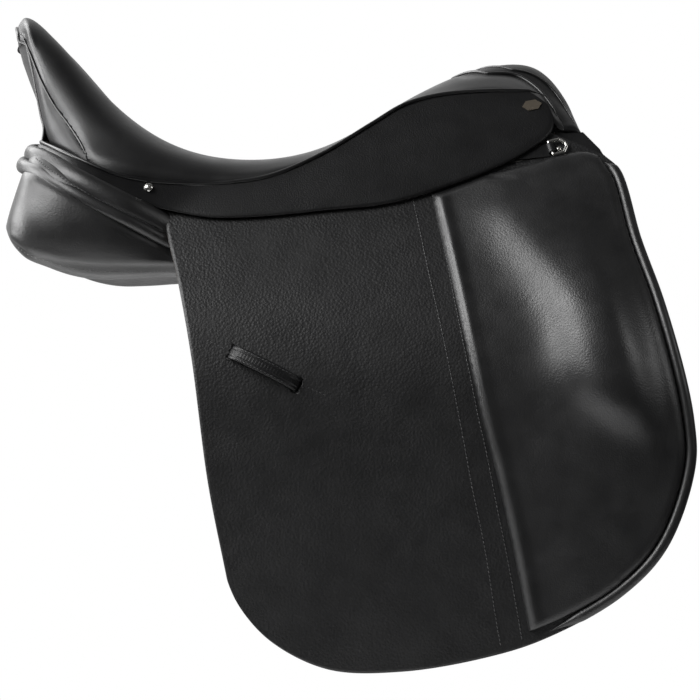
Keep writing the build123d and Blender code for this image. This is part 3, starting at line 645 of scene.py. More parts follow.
# --- seat ---
# at each x, (distance from the centre, z) from the centre to the seam
SEAT_RIBS = {
    -231.5: [(0, 160), (19, 159.5), (35, 157.5), (46, 154), (54, 150), (59, 146), (61, 142)],
    -230: [(0, 165.5), (20, 165), (37, 162.5), (50, 158), (58, 152), (63, 147.5), (63, 143)],
    -226.5: [(0, 168.8), (20, 168.3), (39, 166), (54, 160.8), (63, 154), (67, 148), (66, 142)],
    -221: [(0, 166), (22, 167), (43, 166.4), (60, 160.4), (72, 151), (77, 142), (74, 129)],
    -214: [(0, 160), (22, 162), (46, 164), (66, 158), (80, 146), (85, 131), (80, 112)],
    -201: [(0, 141), (28, 145), (56, 153), (78, 141), (93, 107), (91, 80), (78, 50)],
    -188: [(0, 122), (32, 129), (62, 143), (87, 124), (104, 84), (109, 62), (105, 43)],
    -168: [(0, 97), (35, 103), (68, 117), (97, 98), (119, 58), (128, 45), (128, 34)],
    -137: [(0, 73), (40, 76), (76, 84), (108, 71), (130, 46), (137, 37), (138, 28)],
    -107: [(0, 56), (40, 58), (80, 62), (112, 53), (128, 37), (133, 29), (132.5, 22)],
    -77: [(0, 44), (40, 46), (80, 49.5), (112, 42), (124, 31.5), (128, 25), (128, 18.6)],
    -40: [(0, 39), (40, 41), (78, 44), (107, 38), (119, 30), (124, 25.5), (124.6, 20.3)],
    4: [(0, 42), (38, 44.5), (74, 47), (100, 43.5), (112, 38), (117.5, 34.5), (118.5, 30)],
    34: [(0, 51), (35, 54), (65, 56), (89, 54.5), (102, 51), (108, 49), (109, 46)],
    64: [(0, 69), (30, 71.5), (55, 72.5), (78, 71.5), (91, 69.5), (97, 68), (98, 66)],
    94: [(0, 92), (25, 93.5), (46, 94), (65, 92.5), (79, 90), (86, 88), (87, 85.5)],
    125: [(0, 112), (25, 112), (45, 109.5), (61, 105.5), (73, 100.5), (80, 97.5), (81, 94.8)],
    165: [(0, 127.5), (22, 126.2), (42, 121.8), (57, 115), (69, 108), (78, 102), (79.5, 98.6)],
    190: [(0, 132), (20, 130), (38, 124), (54, 114.5), (68, 107), (77, 101.5), (79.5, 98.6)],
    208: [(0, 129.5), (18, 127.5), (34, 121.5), (50, 111), (64, 103.5), (75, 97), (81, 91)],
    220: [(0, 121.5), (18, 119.5), (36, 112), (54, 98.5), (70, 88), (84, 77), (91, 70)],
    232: [(0, 106), (18, 103.5), (36, 98), (54, 88.5), (68, 82), (80, 75), (90, 69)],
    239: [(0, 90.5), (18, 89.5), (36, 87), (54, 82), (66, 78.5), (78, 73.5), (88, 68)],
    243: [(0, 76), (18, 75.8), (36, 75), (54, 73), (66, 71), (78, 68.5), (88, 65.5)],
    243.6: [(0, 66), (18, 66), (36, 65.5), (54, 65), (66, 64), (78, 63.5), (87, 63)],
}
# lines in side view, as (x, z)
SEAT_BREAK = [(145.5, 117.2), (164.6, 118.6), (187.5, 117.6), (196.3, 113.9), (207.9, 104.3),
              (217.9, 90.2), (226.0, 74.0)]
CANTLE_RIDGE = [(-223.4, 171.5), (-219.6, 149.3), (-213.4, 134.5), (-201.4, 107.2),
                (-189.5, 86.1), (-177.9, 70.9), (-165.5, 52.8), (-158.0, 36.0)]
GUSSET_EDGE = [(-240.0, 153.0), (-228.0, 152.5), (-221.0, 148.0)] + CANTLE_RIDGE[2:]
SEAT_SEAM = [(-77.7, 18.6), (-43.9, 20.0), (-13.3, 25.3), (28.6, 43.9), (69.4, 69.6),
             (95.8, 86.0), (124.8, 94.7), (165.0, 98.4), (199.0, 98.4)]
SKIRT_EDGE = [(-97.9, -1.8), (-64.0, -8.0), (-23.1, -7.6), (35.3, -1.8), (77.9, 2.7),
              (114.2, 11.9), (178.0, 37.1), (211.4, 58.4), (217.5, 66.5), (218.5, 76.0),
              (215.5, 86.0)]
# strip of skirt round the cantle: seam (x, h, z), then lower edge
SKIRT_BAND = [
    ((-96.0, 129.0, 19.6), (-96.0, 137.3, -2.2)),
    ((-113.0, 133.5, 22.6), (-114.0, 141.0, 4.6)),
    ((-133.0, 138.6, 26.4), (-135.0, 146.0, 15.0)),
    ((-152.0, 139.0, 33.4), (-155.0, 146.5, 26.0)),
    ((-173.0, 130.5, 43.0), (-177.0, 137.0, 36.5)),
    ((-191.0, 108.5, 51.5), (-195.0, 113.0, 46.0)),
    ((-203.0, 82.0, 57.8), (-207.0, 84.0, 52.0)),
]
# the middle of the cantle's back, as (z, x)
CANTLE_BACK = [(62.0, -204.6), (92.0, -212.6), (115.0, -222.0), (130.0, -227.5), (142.0, -231.0),
               (153.0, -231.8), (161.0, -231.6)]


def seat_points():
    """The seat leather as a grid: rows from cantle to pommel, from one seam to the other."""
    xs = sorted(SEAT_RIBS)
    at = np.concatenate([np.linspace(-231.5, -205, 26)[:-1], np.linspace(-205, 200, 200)[:-1],
                         np.linspace(200, 243.6, 36)])
    rows = table(xs, [SEAT_RIBS[x] for x in xs], at)
    out = []
    for x, row in zip(at, rows):
        half = smooth(row, 58)
        right = np.stack([np.full(58, x), -half[:, 0], half[:, 1]], -1)
        left = right[1:] * (1, -1, 1)
        out.append(np.vstack([right[::-1], left]))
    return np.array(out)


def grid_normals(g):
    return unit(np.cross(np.gradient(g, axis=0), np.gradient(g, axis=1)), 1e-9)


def pull_in(g, lines, depth, width):
    """Leather drawn down towards its seams."""
    n = grid_normals(g)
    if n[..., 2].mean() < 0:
        n = -n
    flat = g.reshape(-1, 3)
    for line in lines:
        d = away(flat[:, [0, 2]], even(smooth(line, 200), 200))
        flat = flat - n.reshape(-1, 3) * (depth * gauss(d, width))[:, None]
    return flat.reshape(g.shape)


def sliced(verts, faces, value):
    """Cut faces exactly where a value given at their corners changes sign."""
    verts, cuts, above, below = list(map(tuple, verts)), {}, [], []

    def crossing(a, b):
        key = (min(a, b), max(a, b))
        if key not in cuts:
            t = value[key[0]] / (value[key[0]] - value[key[1]])
            cuts[key] = len(verts)
            verts.append(tuple(np.array(verts[key[0]]) * (1 - t) + np.array(verts[key[1]]) * t))
        return cuts[key]

    for face in faces:
        sets = {True: [], False: []}
        for a, b in zip(face, list(face[1:]) + [face[0]]):
            sets[bool(value[a] >= 0)].append(int(a))
            if (value[a] >= 0) != (value[b] >= 0):
                spot = crossing(int(a), int(b))
                sets[True].append(spot)
                sets[False].append(spot)
        for kind, out in ((True, above), (False, below)):
            if len(sets[kind]) > 2:
                out.append(tuple(sets[kind]))
    return np.array(verts), above, below


def compact(verts, faces):
    """Only the points that the faces use."""
    used = sorted({i for face in faces for i in face})
    where = {old: new for new, old in enumerate(used)}
    return verts[used], [tuple(where[i] for i in face) for face in faces]


def side_of(points, line, polygon):
    """Distance from a line in side view, positive within a polygon."""
    flat = points[:, [0, 2]]
    return away(flat, line) * np.where(inside(polygon, flat), 1, -1)


def seat():
    first = soften(seat_points(), 14)
    second = lengthwise(first.copy(), 12)
    third = lengthwise(second.copy(), 70)
    x = first[..., :1]
    g = second + (third - second) * step(-226, -208, x) * step(236, 215, x)
    lean = (4.5 + 3.0 * step(-220, -231, g[..., 0])) * step(-196, -229, g[..., 0])
    g[..., 0] += lean * (g[..., 1] / 60) ** 2
    g = pull_in(g, [CANTLE_RIDGE[1:], SEAT_BREAK], 1.1, 3.4)
    rows, cols, _ = g.shape
    edge = np.minimum(np.arange(cols), np.arange(cols)[::-1])[None, :, None]
    normals = grid_normals(g)
    g = g - normals * np.where(normals[..., 2:].mean() > 0, 1, -1) * 1.6 * gauss(edge, 2.2)
    flat = g.reshape(-1, 3)
    faces = facing(flat, grid_faces(rows, cols), (0, 0, 1))
    ridge, brk = smooth(GUSSET_EDGE, 110), smooth(SEAT_BREAK, 60)
    rear = np.vstack([ridge, [(ridge[-1][0], -50), (-400, -50), (-400, ridge[0][1])]])
    front = np.vstack([brk, [(brk[-1][0], 30), (400, 30), (400, 300), (brk[0][0], 300)]])
    verts, cantle, rest = sliced(flat, faces, side_of(flat, ridge, rear))
    verts, pommel, top = sliced(verts, rest, side_of(verts, brk, front))
    made = {}
    for name, some, mat in (("seat_top", top, seat_leather), ("pommel_cap", pommel, pommel_leather),
                            ("cantle_gusset", cantle, gusset_leather_painted_light)):
        points, few = compact(verts, some)
        depth = GUSSET_HIDE if name == "cantle_gusset" else SEAT_HIDE
        made[name] = thicken(add_mesh(name + "_hide", points, few, [mat, flesh_side]), depth, 0, False)
    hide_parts("seat_cover")
    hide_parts("pommel_cap")
    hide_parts("cantle_gusset")
    return g, made


SEAT, hides = seat()
for obj in hides.values():
    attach(obj, "saddle")
seat_tree = tree_of(*hides.values())


def back():
    """The back of the cantle, closed inside the rear edge of the seat leather."""
    low = int(np.argmin(np.abs(SEAT[:110, 0, 2] - 62.0)))
    apron = [(-206.5, -72.0, 36.0), (-206.5, -77.0, 46.0)]
    border = even(np.vstack([apron, SEAT[:low, 0][::-1], SEAT[0, 1:58]]), 100)
    middle = np.interp(border[:, 2], *zip(*CANTLE_BACK))
    middle = np.minimum(middle - 2.5 * step(70, 52, border[:, 2]), border[:, 0]) + 0.6
    u = np.linspace(-1, 1, 61)
    g = np.array([[(cx + (x + 0.6 - cx) * t * t, -y * t * 0.99, z) for t in u]
                  for cx, (x, y, z) in zip(middle, border)])
    faces = facing(g.reshape(-1, 3), grid_faces(len(border), len(u)), (-1, 0, 0))
    obj = add_mesh("cantle_back_hide", g.reshape(-1, 3), faces, [strap_leather, flesh_side])
    thicken(obj, BACK_HIDE, 0, False)
    rim = np.vstack([border, (border * (1, -1, 1))[::-1][1:]]) + (-0.2, 0, 0)
    binding = tube("cantle_binding", "", even(smooth(rim[::5], 200), 200), 1.5, piping_leather, 10)
    return obj, binding


cantle_back, binding = back()
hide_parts("cantle_back")
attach(cantle_back, "saddle")
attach(binding, "saddle")


def welt_over(name, side, line, count, radius, lift):
    """A welt along a side-view line, laid on the seat."""
    path, _ = onto(seat_tree, smooth(line, count), side, lift)
    path = averaged(path, 5)
    fade = np.clip((len(path) - 1 - np.arange(len(path))) / 12.0, 0.15, 1)
    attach(tube(name, side, even(path, count), radius * fade, piping_leather), "saddle")


def from_above(x, h, lift):
    """A point on the seat, straight under (x, h)."""
    spot, normal, _, _ = seat_tree.ray_cast(Vector((x * MM, -h * MM, 0.4)), Vector((0, 0, -1)))
    return np.array(spot) / MM + np.array(normal) * lift


def arch_over(name, top_x, line, radius, lift):
    """A welt that runs up one side of the pommel, over the top and down the other."""
    right, _ = onto(seat_tree, smooth(line, 60), "right", lift)
    right = averaged(right, 2)
    first = right[0]
    over = [from_above(top_x + (first[0] - top_x) * t**1.6, -first[1] * t, lift)
            for t in np.linspace(0, 0.93, 16)]
    half = np.vstack([over, right])
    path = smooth(np.vstack([(half * (1, -1, 1))[:0:-1], half])[::2], 260)
    ends = np.minimum(np.arange(260), np.arange(260)[::-1])
    welt = tube(name, "", path, radius * np.clip(ends / 14.0, 0.2, 1), piping_leather)
    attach(welt, "saddle")


for side in SIDES:
    welt_over("cantle_ridge_welt", side, [(-219.6, 147.0)] + CANTLE_RIDGE[2:-1] + [(-160.0, 41.0)],
              160, 0.8, 0.75)
arch_over("pommel_welt", 139.0, SEAT_BREAK[1:-1] + [(223.0, 79.5)], 1.6, 0.4)
arch_over("pommel_edge_welt", 158.0, [(186.0, 122.8), (203.0, 119.0), (216.0, 110.8), (226.0, 98.8),
                                      (233.0, 84.5), (237.0, 73.0)], 1.1, 0.2)


# --- skirt ---
def skirt_points():
    """The skirt's outer face: rows from its seam to its lower edge."""
    seam = smooth(SEAT_SEAM, 260)
    edge = smooth(SKIRT_EDGE, 260)
    v = np.linspace(0, 1, 26)[:, None, None]
    main = hang((1 - v) * seam[None] + v * edge[None], SKIRT_OUT)
    xs = [a[0] for a, _ in SKIRT_BAND][::-1]
    band = table(xs, [[a, b] for a, b in SKIRT_BAND[::-1]], np.linspace(xs[0], xs[-1], 80))
    band[..., 1] *= -1
    band = (1 - v) * band[None, :, 0] + v * band[None, :, 1]
    return np.concatenate([band[:, :-4], main[:, 3:]], axis=1)


def relax(g, times, columns):
    """Smooths a stretch of columns where two surfaces meet."""
    for _ in range(times):
        m = (g[:, :-2] + g[:, 2:]) / 2
        g[:, 1:-1][:, columns] = (g[:, 1:-1] * 0.5 + m * 0.5)[:, columns]
    return g


def skirt(side):
    g = relax(skirt_points(), 60, slice(55, 100))
    rows, cols, _ = g.shape
    v = np.linspace(0, 1, rows)[:, None, None]
    out = grid_normals(g)
    if out[..., 1].mean() > 0:
        out = -out
    g = g + out * (0.6 * np.sin(math.pi * v) - 0.8 * gauss(1 - v, 0.05))
    g = side_points(g, side)
    faces = facing(g.reshape(-1, 3), grid_faces(rows, cols), (0, SIDES[side], 0))
    looks = [skirt_leather, flesh_side, strap_leather]
    obj = add_mesh(f"skirt_hide_{side}", g.reshape(-1, 3), faces, looks)
    thicken(obj, SKIRT_HIDE, rim_slot=2)
    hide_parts(f"skirt_{side}", f"skirt_top_{side}", f"skirt_band_{side}")
    top = g[0].copy()
    top[:, 2] += 0.6
    on = side_points(hang(np.array([(204.0, 98.0), (209.0, 96.6), (213.0, 94.4)]), 3.6), side)
    line = smooth(np.vstack([top[::4], on]), 320)
    fade = np.clip((319 - np.arange(320)) / 16.0, 0.3, 1)
    welt = tube("seat_seam_welt", side, line, 1.7 * fade, piping_leather)
    bend(obj, "skirt", side)
    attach(welt, "saddle")


for side in SIDES:
    skirt(side)


# --- flap ---
FLAP_REAR = [(-96.0, 3.0), (-96.1, -14.4), (-85.8, -54.3), (-73.0, -117.7), (-59.2, -217.4),
             (-44.2, -291.8)]
FLAP_FOOT = [(-44.2, -291.8), (-31.7, -316.6), (-7.6, -341.3), (35.1, -361.3), (91.0, -362.9),
             (156.2, -352.1), (202.8, -337.4)]
FLAP_FRONT = [(202.8, -337.4), (262.8, -304.2), (298.0, -267.0), (320.2, -205.0), (319.7, -167.6),
              (299.7, -76.7), (284.1, -23.4), (270.8, 33.2), (258.5, 46.0)]
FLAP_TOP = [(-96.0, 3.0), (-40.0, 11.0), (0.0, 20.0), (60.0, 50.0), (124.0, 78.0), (206.0, 69.0),
            (240.0, 55.0), (258.5, 46.0)]
KEEPER = (-15.5, -127.5)
KEEPER_TURN = math.radians(-26.7)


def nearest(line, spot):
    """The number of the point nearest to spot."""
    return int(np.argmin(((line - np.array(spot)) ** 2).sum(axis=1)))


def outline_lines():
    """Rear, foot and front of the flap as fine lines; the corners are where a patch can turn."""
    rear = smooth(FLAP_REAR, 600)
    round_ = smooth(FLAP_REAR[-2:] + FLAP_FOOT[1:] + FLAP_FRONT[1:], 2400)
    a, b = nearest(round_, (-31.7, -316.6)), nearest(round_, (268.0, -300.0))
    start = nearest(round_, FLAP_REAR[-1])
    rear = np.vstack([rear[:-1], round_[start:a]])
    return rear, round_[a:b + 1], round_[b:]


REAR_LINE, FOOT_LINE, FRONT_LINE = outline_lines()


def surface_axes(spot, turn):
    """Unit directions on the right-hand leather: along the strap, across it, and out."""
    _, tilt = guide(spot[1])
    out = np.array([0, -math.cos(tilt), math.sin(tilt)])
    up = np.array([0, math.sin(tilt), math.cos(tilt)])
    x = np.array([1.0, 0, 0])
    return (x * math.cos(turn) + up * math.sin(turn), up * math.cos(turn) - x * math.sin(turn), out)


def cutter(centre, axes, size):
    """A box to cut with."""
    c = np.array([[i, j, k] for i in (-1, 1) for j in (-1, 1) for k in (-1, 1)]) * 0.5
    verts = centre + (c * np.array(size)) @ np.array(axes)
    faces = [(0, 1, 3, 2), (4, 6, 7, 5), (0, 4, 5, 1), (2, 3, 7, 6), (0, 2, 6, 4), (1, 5, 7, 3)]
    return outward(add_mesh("cutter", verts, faces, []))


def cut(obj, cutters):
    for c in cutters:
        m = obj.modifiers.new("cut", "BOOLEAN")
        m.operation, m.object, m.solver = "DIFFERENCE", c, "EXACT"
    applied(obj)
    for c in cutters:
        bpy.data.objects.remove(c)
    return obj


def flap(side):
    rows, cols = 150, 130
    top = even(np.array(FLAP_TOP), cols)
    xz = coons(top, even(FOOT_LINE, cols), even(REAR_LINE, rows), even(FRONT_LINE[::-1], rows))
    g = side_points(hang(xz, 0.0), side)
    faces = facing(g.reshape(-1, 3), grid_faces(rows, cols), (0, SIDES[side], 0))
    obj = add_mesh(f"flap_hide_{side}", g.reshape(-1, 3), faces, [flap_leather, flesh_side, raw_edge])
    thicken(obj, FLAP_HIDE, rim_slot=2)
    axes = np.array(surface_axes(KEEPER, KEEPER_TURN))
    centre = hang(np.array([KEEPER]), -1.5)[0]
    cuts = [(centre + axes[0] * s * 28.5, axes, (4.2, 12.4, 16.0)) for s in (-1, 1)]
    bar_axes = np.array(surface_axes((165.0, 45.0), math.atan(0.21)))
    cuts.append((hang(np.array([(167.0, 45.5)]), -1.5)[0], bar_axes, (84.0, 21.0, 16.0)))
    cut(obj, [cutter(side_points(c, side), side_points(a, side), s) for c, a, s in cuts])
    for polygon in obj.data.polygons:
        polygon.use_smooth = True
    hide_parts(f"flap_{side}", f"flap_top_{side}")
    bend(obj, "flap", side)


def flap_stitching(side):
    """Two rows of stitches down the flap, its rolled edge and the stitches inside that."""
    stitch_rows = [
        [(99.5, 22.0), (105.2, -6.1), (114.1, -52.7), (122.1, -91.0), (129.6, -128.6), (139.5, -180.8),
         (146.4, -218.9), (156.4, -267.8), (165.6, -327.4), (168.5, -343.0)],
        [(121.0, -5.0), (127.8, -38.9), (135.6, -83.1), (144.4, -128.6), (152.0, -167.6),
         (157.4, -191.0), (165.9, -235.2), (173.1, -270.9), (181.9, -319.7), (185.0, -338.0)],
    ]
    lines = [hung_line(r, 300, 0.12, side) for r in stitch_rows]
    obj = thread("flap_stitching", side, lines, pitch=3.3, length=2.5, width=0.8, height=0.55)
    bend(obj, "flap", side)
    for letter, row in zip("ab", stitch_rows):
        path, _ = hung_line(row, 260, 0.0, side)
        bend(tube(f"flap_seam_{letter}", side, path, 0.32, strap_leather, 6), "flap", side)
    edge = even(FRONT_LINE[::-1], 500)
    edge = edge[nearest(edge, (262.0, 44.0)):]
    foot = even(FOOT_LINE[::-1], 600)
    foot = foot[:nearest(foot, (205.0, -336.7))]
    line = np.vstack([edge, foot[1:]])
    fade = np.minimum(step(0, 14, np.arange(len(line))), step(0, 60, np.arange(len(line))[::-1]))
    inward = inset_line(line, 4.0)
    path = side_points(hang(inward, -0.4), side)
    roll = tube("flap_edge_roll", side, path[::2], (4.5 * fade + 0.4)[::2], pad_leather, 14, 0.9)
    bend(roll, "flap", side)
    groove = even(inset_line(line[10:-70], 10.4), 420)
    run = thread("pad_edge_stitching", side,
                 [(side_points(hang(groove, 1.7), side), side_points(hang_normal(groove), side))],
                 pitch=3.4, length=2.5, width=0.8, height=0.6)
    bend(run, "flap", side)


def inset_line(line, d):
    """A line moved towards the middle of the flap."""
    t = unit(np.gradient(line, axis=0))
    n = np.stack([t[:, 1], -t[:, 0]], -1)
    if ((np.array([110.0, -150.0]) - line) * n).sum() < 0:
        n = -n
    return line + n * d


def pad_lines():
    """The knee pad's top, foot, rear and front."""
    front = inset_line(FRONT_LINE[::-1], 8.8)
    front = np.vstack([[(253.8, 44.6)], front[nearest(front, (262.5, 33.0)):]])
    foot = inset_line(FOOT_LINE, 8.2)
    foot = foot[nearest(foot, (190.5, -331.0)):]
    whole = np.vstack([front, foot[::-1]])
    k = nearest(whole, (258.0, -296.0))
    rear = smooth([(116.5, 17.0), (119.1, 3.9), (129.3, -45.4), (141.5, -105.9), (154.4, -166.0),
                   (165.9, -211.2), (179.0, -270.9), (190.5, -331.0)], 600)
    top = smooth([(116.5, 17.0), (128.0, 20.5), (141.0, 25.0), (160.0, 29.2), (178.0, 32.6),
                  (206.0, 39.6), (216.0, 43.8), (227.5, 46.3), (238.7, 48.2), (247.0, 47.4),
                  (253.8, 44.6)], 600)
    return top, whole[k:][::-1], rear, whole[:k + 1]


def block_height(xz):
    """The thigh block: two ridges, a hollow between them and the soft pad around."""
    x, z = xz[..., 0], xz[..., 1]
    crest = np.interp(-z, [-45, 10, 63, 100, 151, 183, 215], [176, 187, 220, 236, 246, 252, 262])
    second = np.interp(-z, [-20, 20, 55, 119, 160], [236, 238, 245, 267, 280])
    tall = np.interp(-z, [-45, -25, 0, 40, 90, 140, 165, 185, 205, 225],
                     [0, 2, 6, 11, 16, 17, 14, 8, 3, 0])
    rise = np.exp(-np.clip(crest - x, 0, None) ** 2 / (2 * 19.0**2))
    far = np.exp(-np.clip(x - crest, 0, None) ** 2 / (2 * 46.0**2))
    low = np.interp(x, [225, 235, 261, 283, 306, 318], [-148, -157, -174, -187, -192, -182])
    shelf = step(-9, 17, z - low)
    ridge = tall * rise * far * (0.25 + 0.75 * shelf)
    swell = 3.0 * gauss(x - second, 20.0) * step(0, -55, z) * step(-185, -105, z)
    hollow = -3.0 * np.exp(-(((x - 205) / 26) ** 2 + ((z + 100) / 46) ** 2))
    return ridge + swell + hollow * 0.9


def knee_pad(side):
    rows, cols = 190, 110
    top, foot, rear, front = pad_lines()
    xz = coons(even(top, cols), even(foot, cols), even(rear, rows), even(front, rows))
    flat = xz.reshape(-1, 2)
    d_rear = away(flat, even(rear, 420)).reshape(rows, cols)
    d_front = away(flat, even(np.vstack([front, foot[::-1]]), 520)).reshape(rows, cols)
    d_top = away(flat, even(top, 240)).reshape(rows, cols)
    near = np.minimum(np.minimum(d_rear, d_front * 0.8), d_top * 0.55)
    lift = np.sqrt(np.clip(1 - (1 - np.clip(near / 6.5, 0, 1)) ** 2, 0, 1))
    soft = 5.2 + 1.4 * gauss(d_rear - 6.5, 5.0) + 1.2 * step(10, 60, d_rear) * step(5, 60, d_front)
    block = np.clip(block_height(xz), -4, None) * step(2, 34, d_front) * step(3, 40, d_top)
    edge = smooth(SKIRT_EDGE, 200)
    below = np.interp(xz[..., 0], edge[:150, 0], edge[:150, 1]) - xz[..., 1]
    tucked = np.maximum(step(-1, 10, below), step(150, 190, xz[..., 0]))
    block = soften(block[..., None], 90)[..., 0]
    height = 0.5 + lift * (soft + block) * tucked
    outer = side_points(hang(xz, height), side)
    inner = side_points(hang(xz, 0.12), side)
    verts, faces = sheet_mesh(outer, inner, 0.3)
    obj = piece("knee_pad_hide", side, verts, faces, [pad_leather])
    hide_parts(f"knee_pad_{side}")
    bend(obj, "flap", side)


def keeper(side):
    """The stitched strap that holds the end of the stirrup leather."""
    path = smooth([(-30, -6.0), (-29.2, -2.0), (-28.0, 2.0), (-23.0, 6.4), (-12.0, 8.9), (0, 9.6),
                   (12.0, 8.9), (23.0, 6.4), (28.0, 2.0), (29.2, -2.0), (30, -6.0)], 90)
    along, across, out = surface_axes(KEEPER, KEEPER_TURN)
    centre = hang(np.array([KEEPER]), 0.0)[0]
    w = np.linspace(-1, 1, 23)
    crown = 1.35 - 0.55 * np.abs(w) ** 6 - 0.5 * gauss(w - 0.52, 0.09) - 0.5 * gauss(w + 0.52, 0.09)
    t = unit(np.gradient(path, axis=0))
    up = np.stack([-t[:, 1], t[:, 0]], -1)
    rib = 0.16 * np.sin(np.arange(90) * 2 * math.pi / 3.0)

    def face(profile):
        k = path[:, None] + up[:, None] * profile[..., None]
        return (centre + along * k[..., :1] + out * k[..., 1:] + across * (w * 5.5)[None, :, None])

    outer = face(crown[None] + rib[:, None] * (np.abs(w) < 0.45)[None])
    inner = face(np.full((90, 23), -1.2))
    verts, faces = sheet_mesh(side_points(outer, side), side_points(inner, side), 0.4)
    strap = piece("keeper_strap", side, verts, faces, [strap_leather])
    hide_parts(f"keeper_{side}")
    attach(strap, f"flap_{side}_fold")
    lines = []
    for v in (-0.78, 0.78):
        p = centre + along * path[8:-8, :1] + out * (path[8:-8, 1:] + 1.1) + across * v * 5.5
        lines.append((side_points(p, side), side_points(np.tile(out, (len(p), 1)), side)))
    for a, b in (((-61.0, -105.2), (-47.0, -111.6)), ((18.0, -141.8), (33.0, -148.6))):
        lines.append(hung_line([a, ((a[0] + b[0]) / 2, (a[1] + b[1]) / 2), b], 30, 0.1, side))
    sewn = thread("keeper_stitching", side, lines, pitch=2.9, length=2.1, width=0.6, height=0.45)
    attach(sewn, f"flap_{side}_fold")


for side in SIDES:
    flap(side)
    flap_stitching(side)
    knee_pad(side)
    keeper(side)


# --- panels ---
# at each x, eight (h, z) points round the cushion
PANEL_RIBS = {
    -224: [(74, -10), (80, -20), (98, -26), (116, -26), (128, -20), (131, -10), (122, -2), (98, 0)],
    -212: [(46, 8), (52, -20), (84, -36), (116, -39), (137, -31), (143, -6), (122, 34), (78, 45)],
    -190: [(37, 20), (40, -20), (72, -40), (114, -51), (142, -42), (151, -10), (141, 31), (104, 49)],
    -160: [(34, 12), (37, -24), (72, -46), (116, -59), (142, -50), (153, -18), (149, 19), (122, 34)],
    -130: [(33, 6), (37, -27), (74, -48), (116, -59), (141, -50), (150, -24), (148, 4), (122, 17)],
    -95: [(33, 0), (37, -28), (74, -47), (114, -57), (137, -50), (139, -31), (134, -10), (104, 3)],
    -60: [(33, 0), (36, -28), (72, -46), (110, -61), (136, -58), (129, -36), (116, -15), (86, -8)],
    0: [(33, 0), (36, -28), (70, -46), (112, -68), (139, -66), (129, -36), (116, -15), (84, -8)],
    50: [(33, 4), (39, -22), (74, -50), (124, -92), (154, -92), (136, -50), (113, -8), (82, 6)],
    100: [(35, 20), (46, -12), (84, -62), (136, -138), (170, -142), (148, -70), (108, 0), (72, 20)],
    150: [(38, 34), (52, -4), (94, -72), (144, -164), (172, -176), (156, -86), (106, 4), (72, 32)],
    200: [(42, 44), (58, 2), (102, -72), (146, -158), (170, -170), (154, -84), (102, 10), (74, 40)],
    235: [(56, 42), (68, 6), (108, -54), (138, -98), (157, -112), (144, -64), (104, 6), (82, 36)],
    250: [(76, 30), (84, 4), (108, -24), (120, -40), (131, -42), (124, -28), (104, 4), (90, 26)],
}
ROLL_SEAM = [(-203.0, 42.5), (-192.5, 34.1), (-170.2, 18.9), (-150.8, 7.7), (-131.6, -1.9),
             (-97.0, -19.3), (-70.0, -31.0)]
ROLL_FOOT = [(-208.0, 33.0), (-189.1, 22.1), (-169.8, 11.4), (-150.4, -0.1), (-131.3, -10.7),
             (-95.4, -28.1), (-70.0, -40.0)]
PANEL_SEAM = [(-221.0, -27.0), (-204.8, -37.5), (-190.3, -41.8), (-180.6, -45.2), (-153.4, -49.7),
              (-132.1, -50.1), (-89.3, -50.1), (-60.0, -51.0)]
# each roll: its line as (x, h, z), its half widths along that, and its height
ROLLS = {
    "upper": ([(-200, 40, 53), (-208, 66, 51.5), (-211, 88, 49), (-205, 108, 45.5), (-190, 126, 38.5),
               (-170, 142, 26.5), (-148, 147.5, 14.5), (-124, 145.5, 2.0), (-97, 133, -11), (-76, 120, -20)],
              [6.2, 7.0, 7.6, 8.2, 9.0, 9.4], 5.0),
    "lower": ([(-205, 40, 43), (-214, 66, 42), (-217.5, 90, 39.5), (-212, 112, 35.5), (-197, 132, 29.5),
               (-172, 146, 14.5), (-150, 149.5, 2.5), (-124, 147.5, -10.5), (-97, 137, -25), (-76, 126, -35)],
              [6.4, 6.4, 6.0, 5.6, 5.2, 5.0], 4.6),
}


def facing_roll(kind, side):
    """A stuffed roll of leather along the top of the panel's rear."""
    spots, widths, height = ROLLS[kind]
    rows, cols = 200, 28
    path = smooth([(x, -h, z) for x, h, z in spots], rows)
    t = unit(np.gradient(path, axis=0))
    out = np.stack([np.full(rows, -0.15) - step(-185, -214, path[:, 0]) * 1.4, np.full(rows, -1.0),
                    np.full(rows, 0.42)], -1)
    out = unit(out - t * (out * t).sum(axis=1)[:, None])
    across = np.cross(t, out)
    wide = np.interp(np.linspace(0, 1, rows), np.linspace(0, 1, 6), widths)[:, None, None]
    a = np.linspace(0, 2 * math.pi, cols, endpoint=False)
    ring = (across[:, None] * np.cos(a)[None, :, None] * wide
            + out[:, None] * np.sin(a)[None, :, None] * height)
    points = side_points((path[:, None] + ring).reshape(-1, 3), side)
    faces = [tuple(f) for f in grid_faces(rows, cols, wrap_cols=True)]
    faces += [tuple(range(cols)), tuple((rows - 1) * cols + k for k in range(cols))]
    obj = piece(f"panel_roll_{kind}", side, points, faces, [panel_leather])
    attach(obj, "saddle")
    return obj


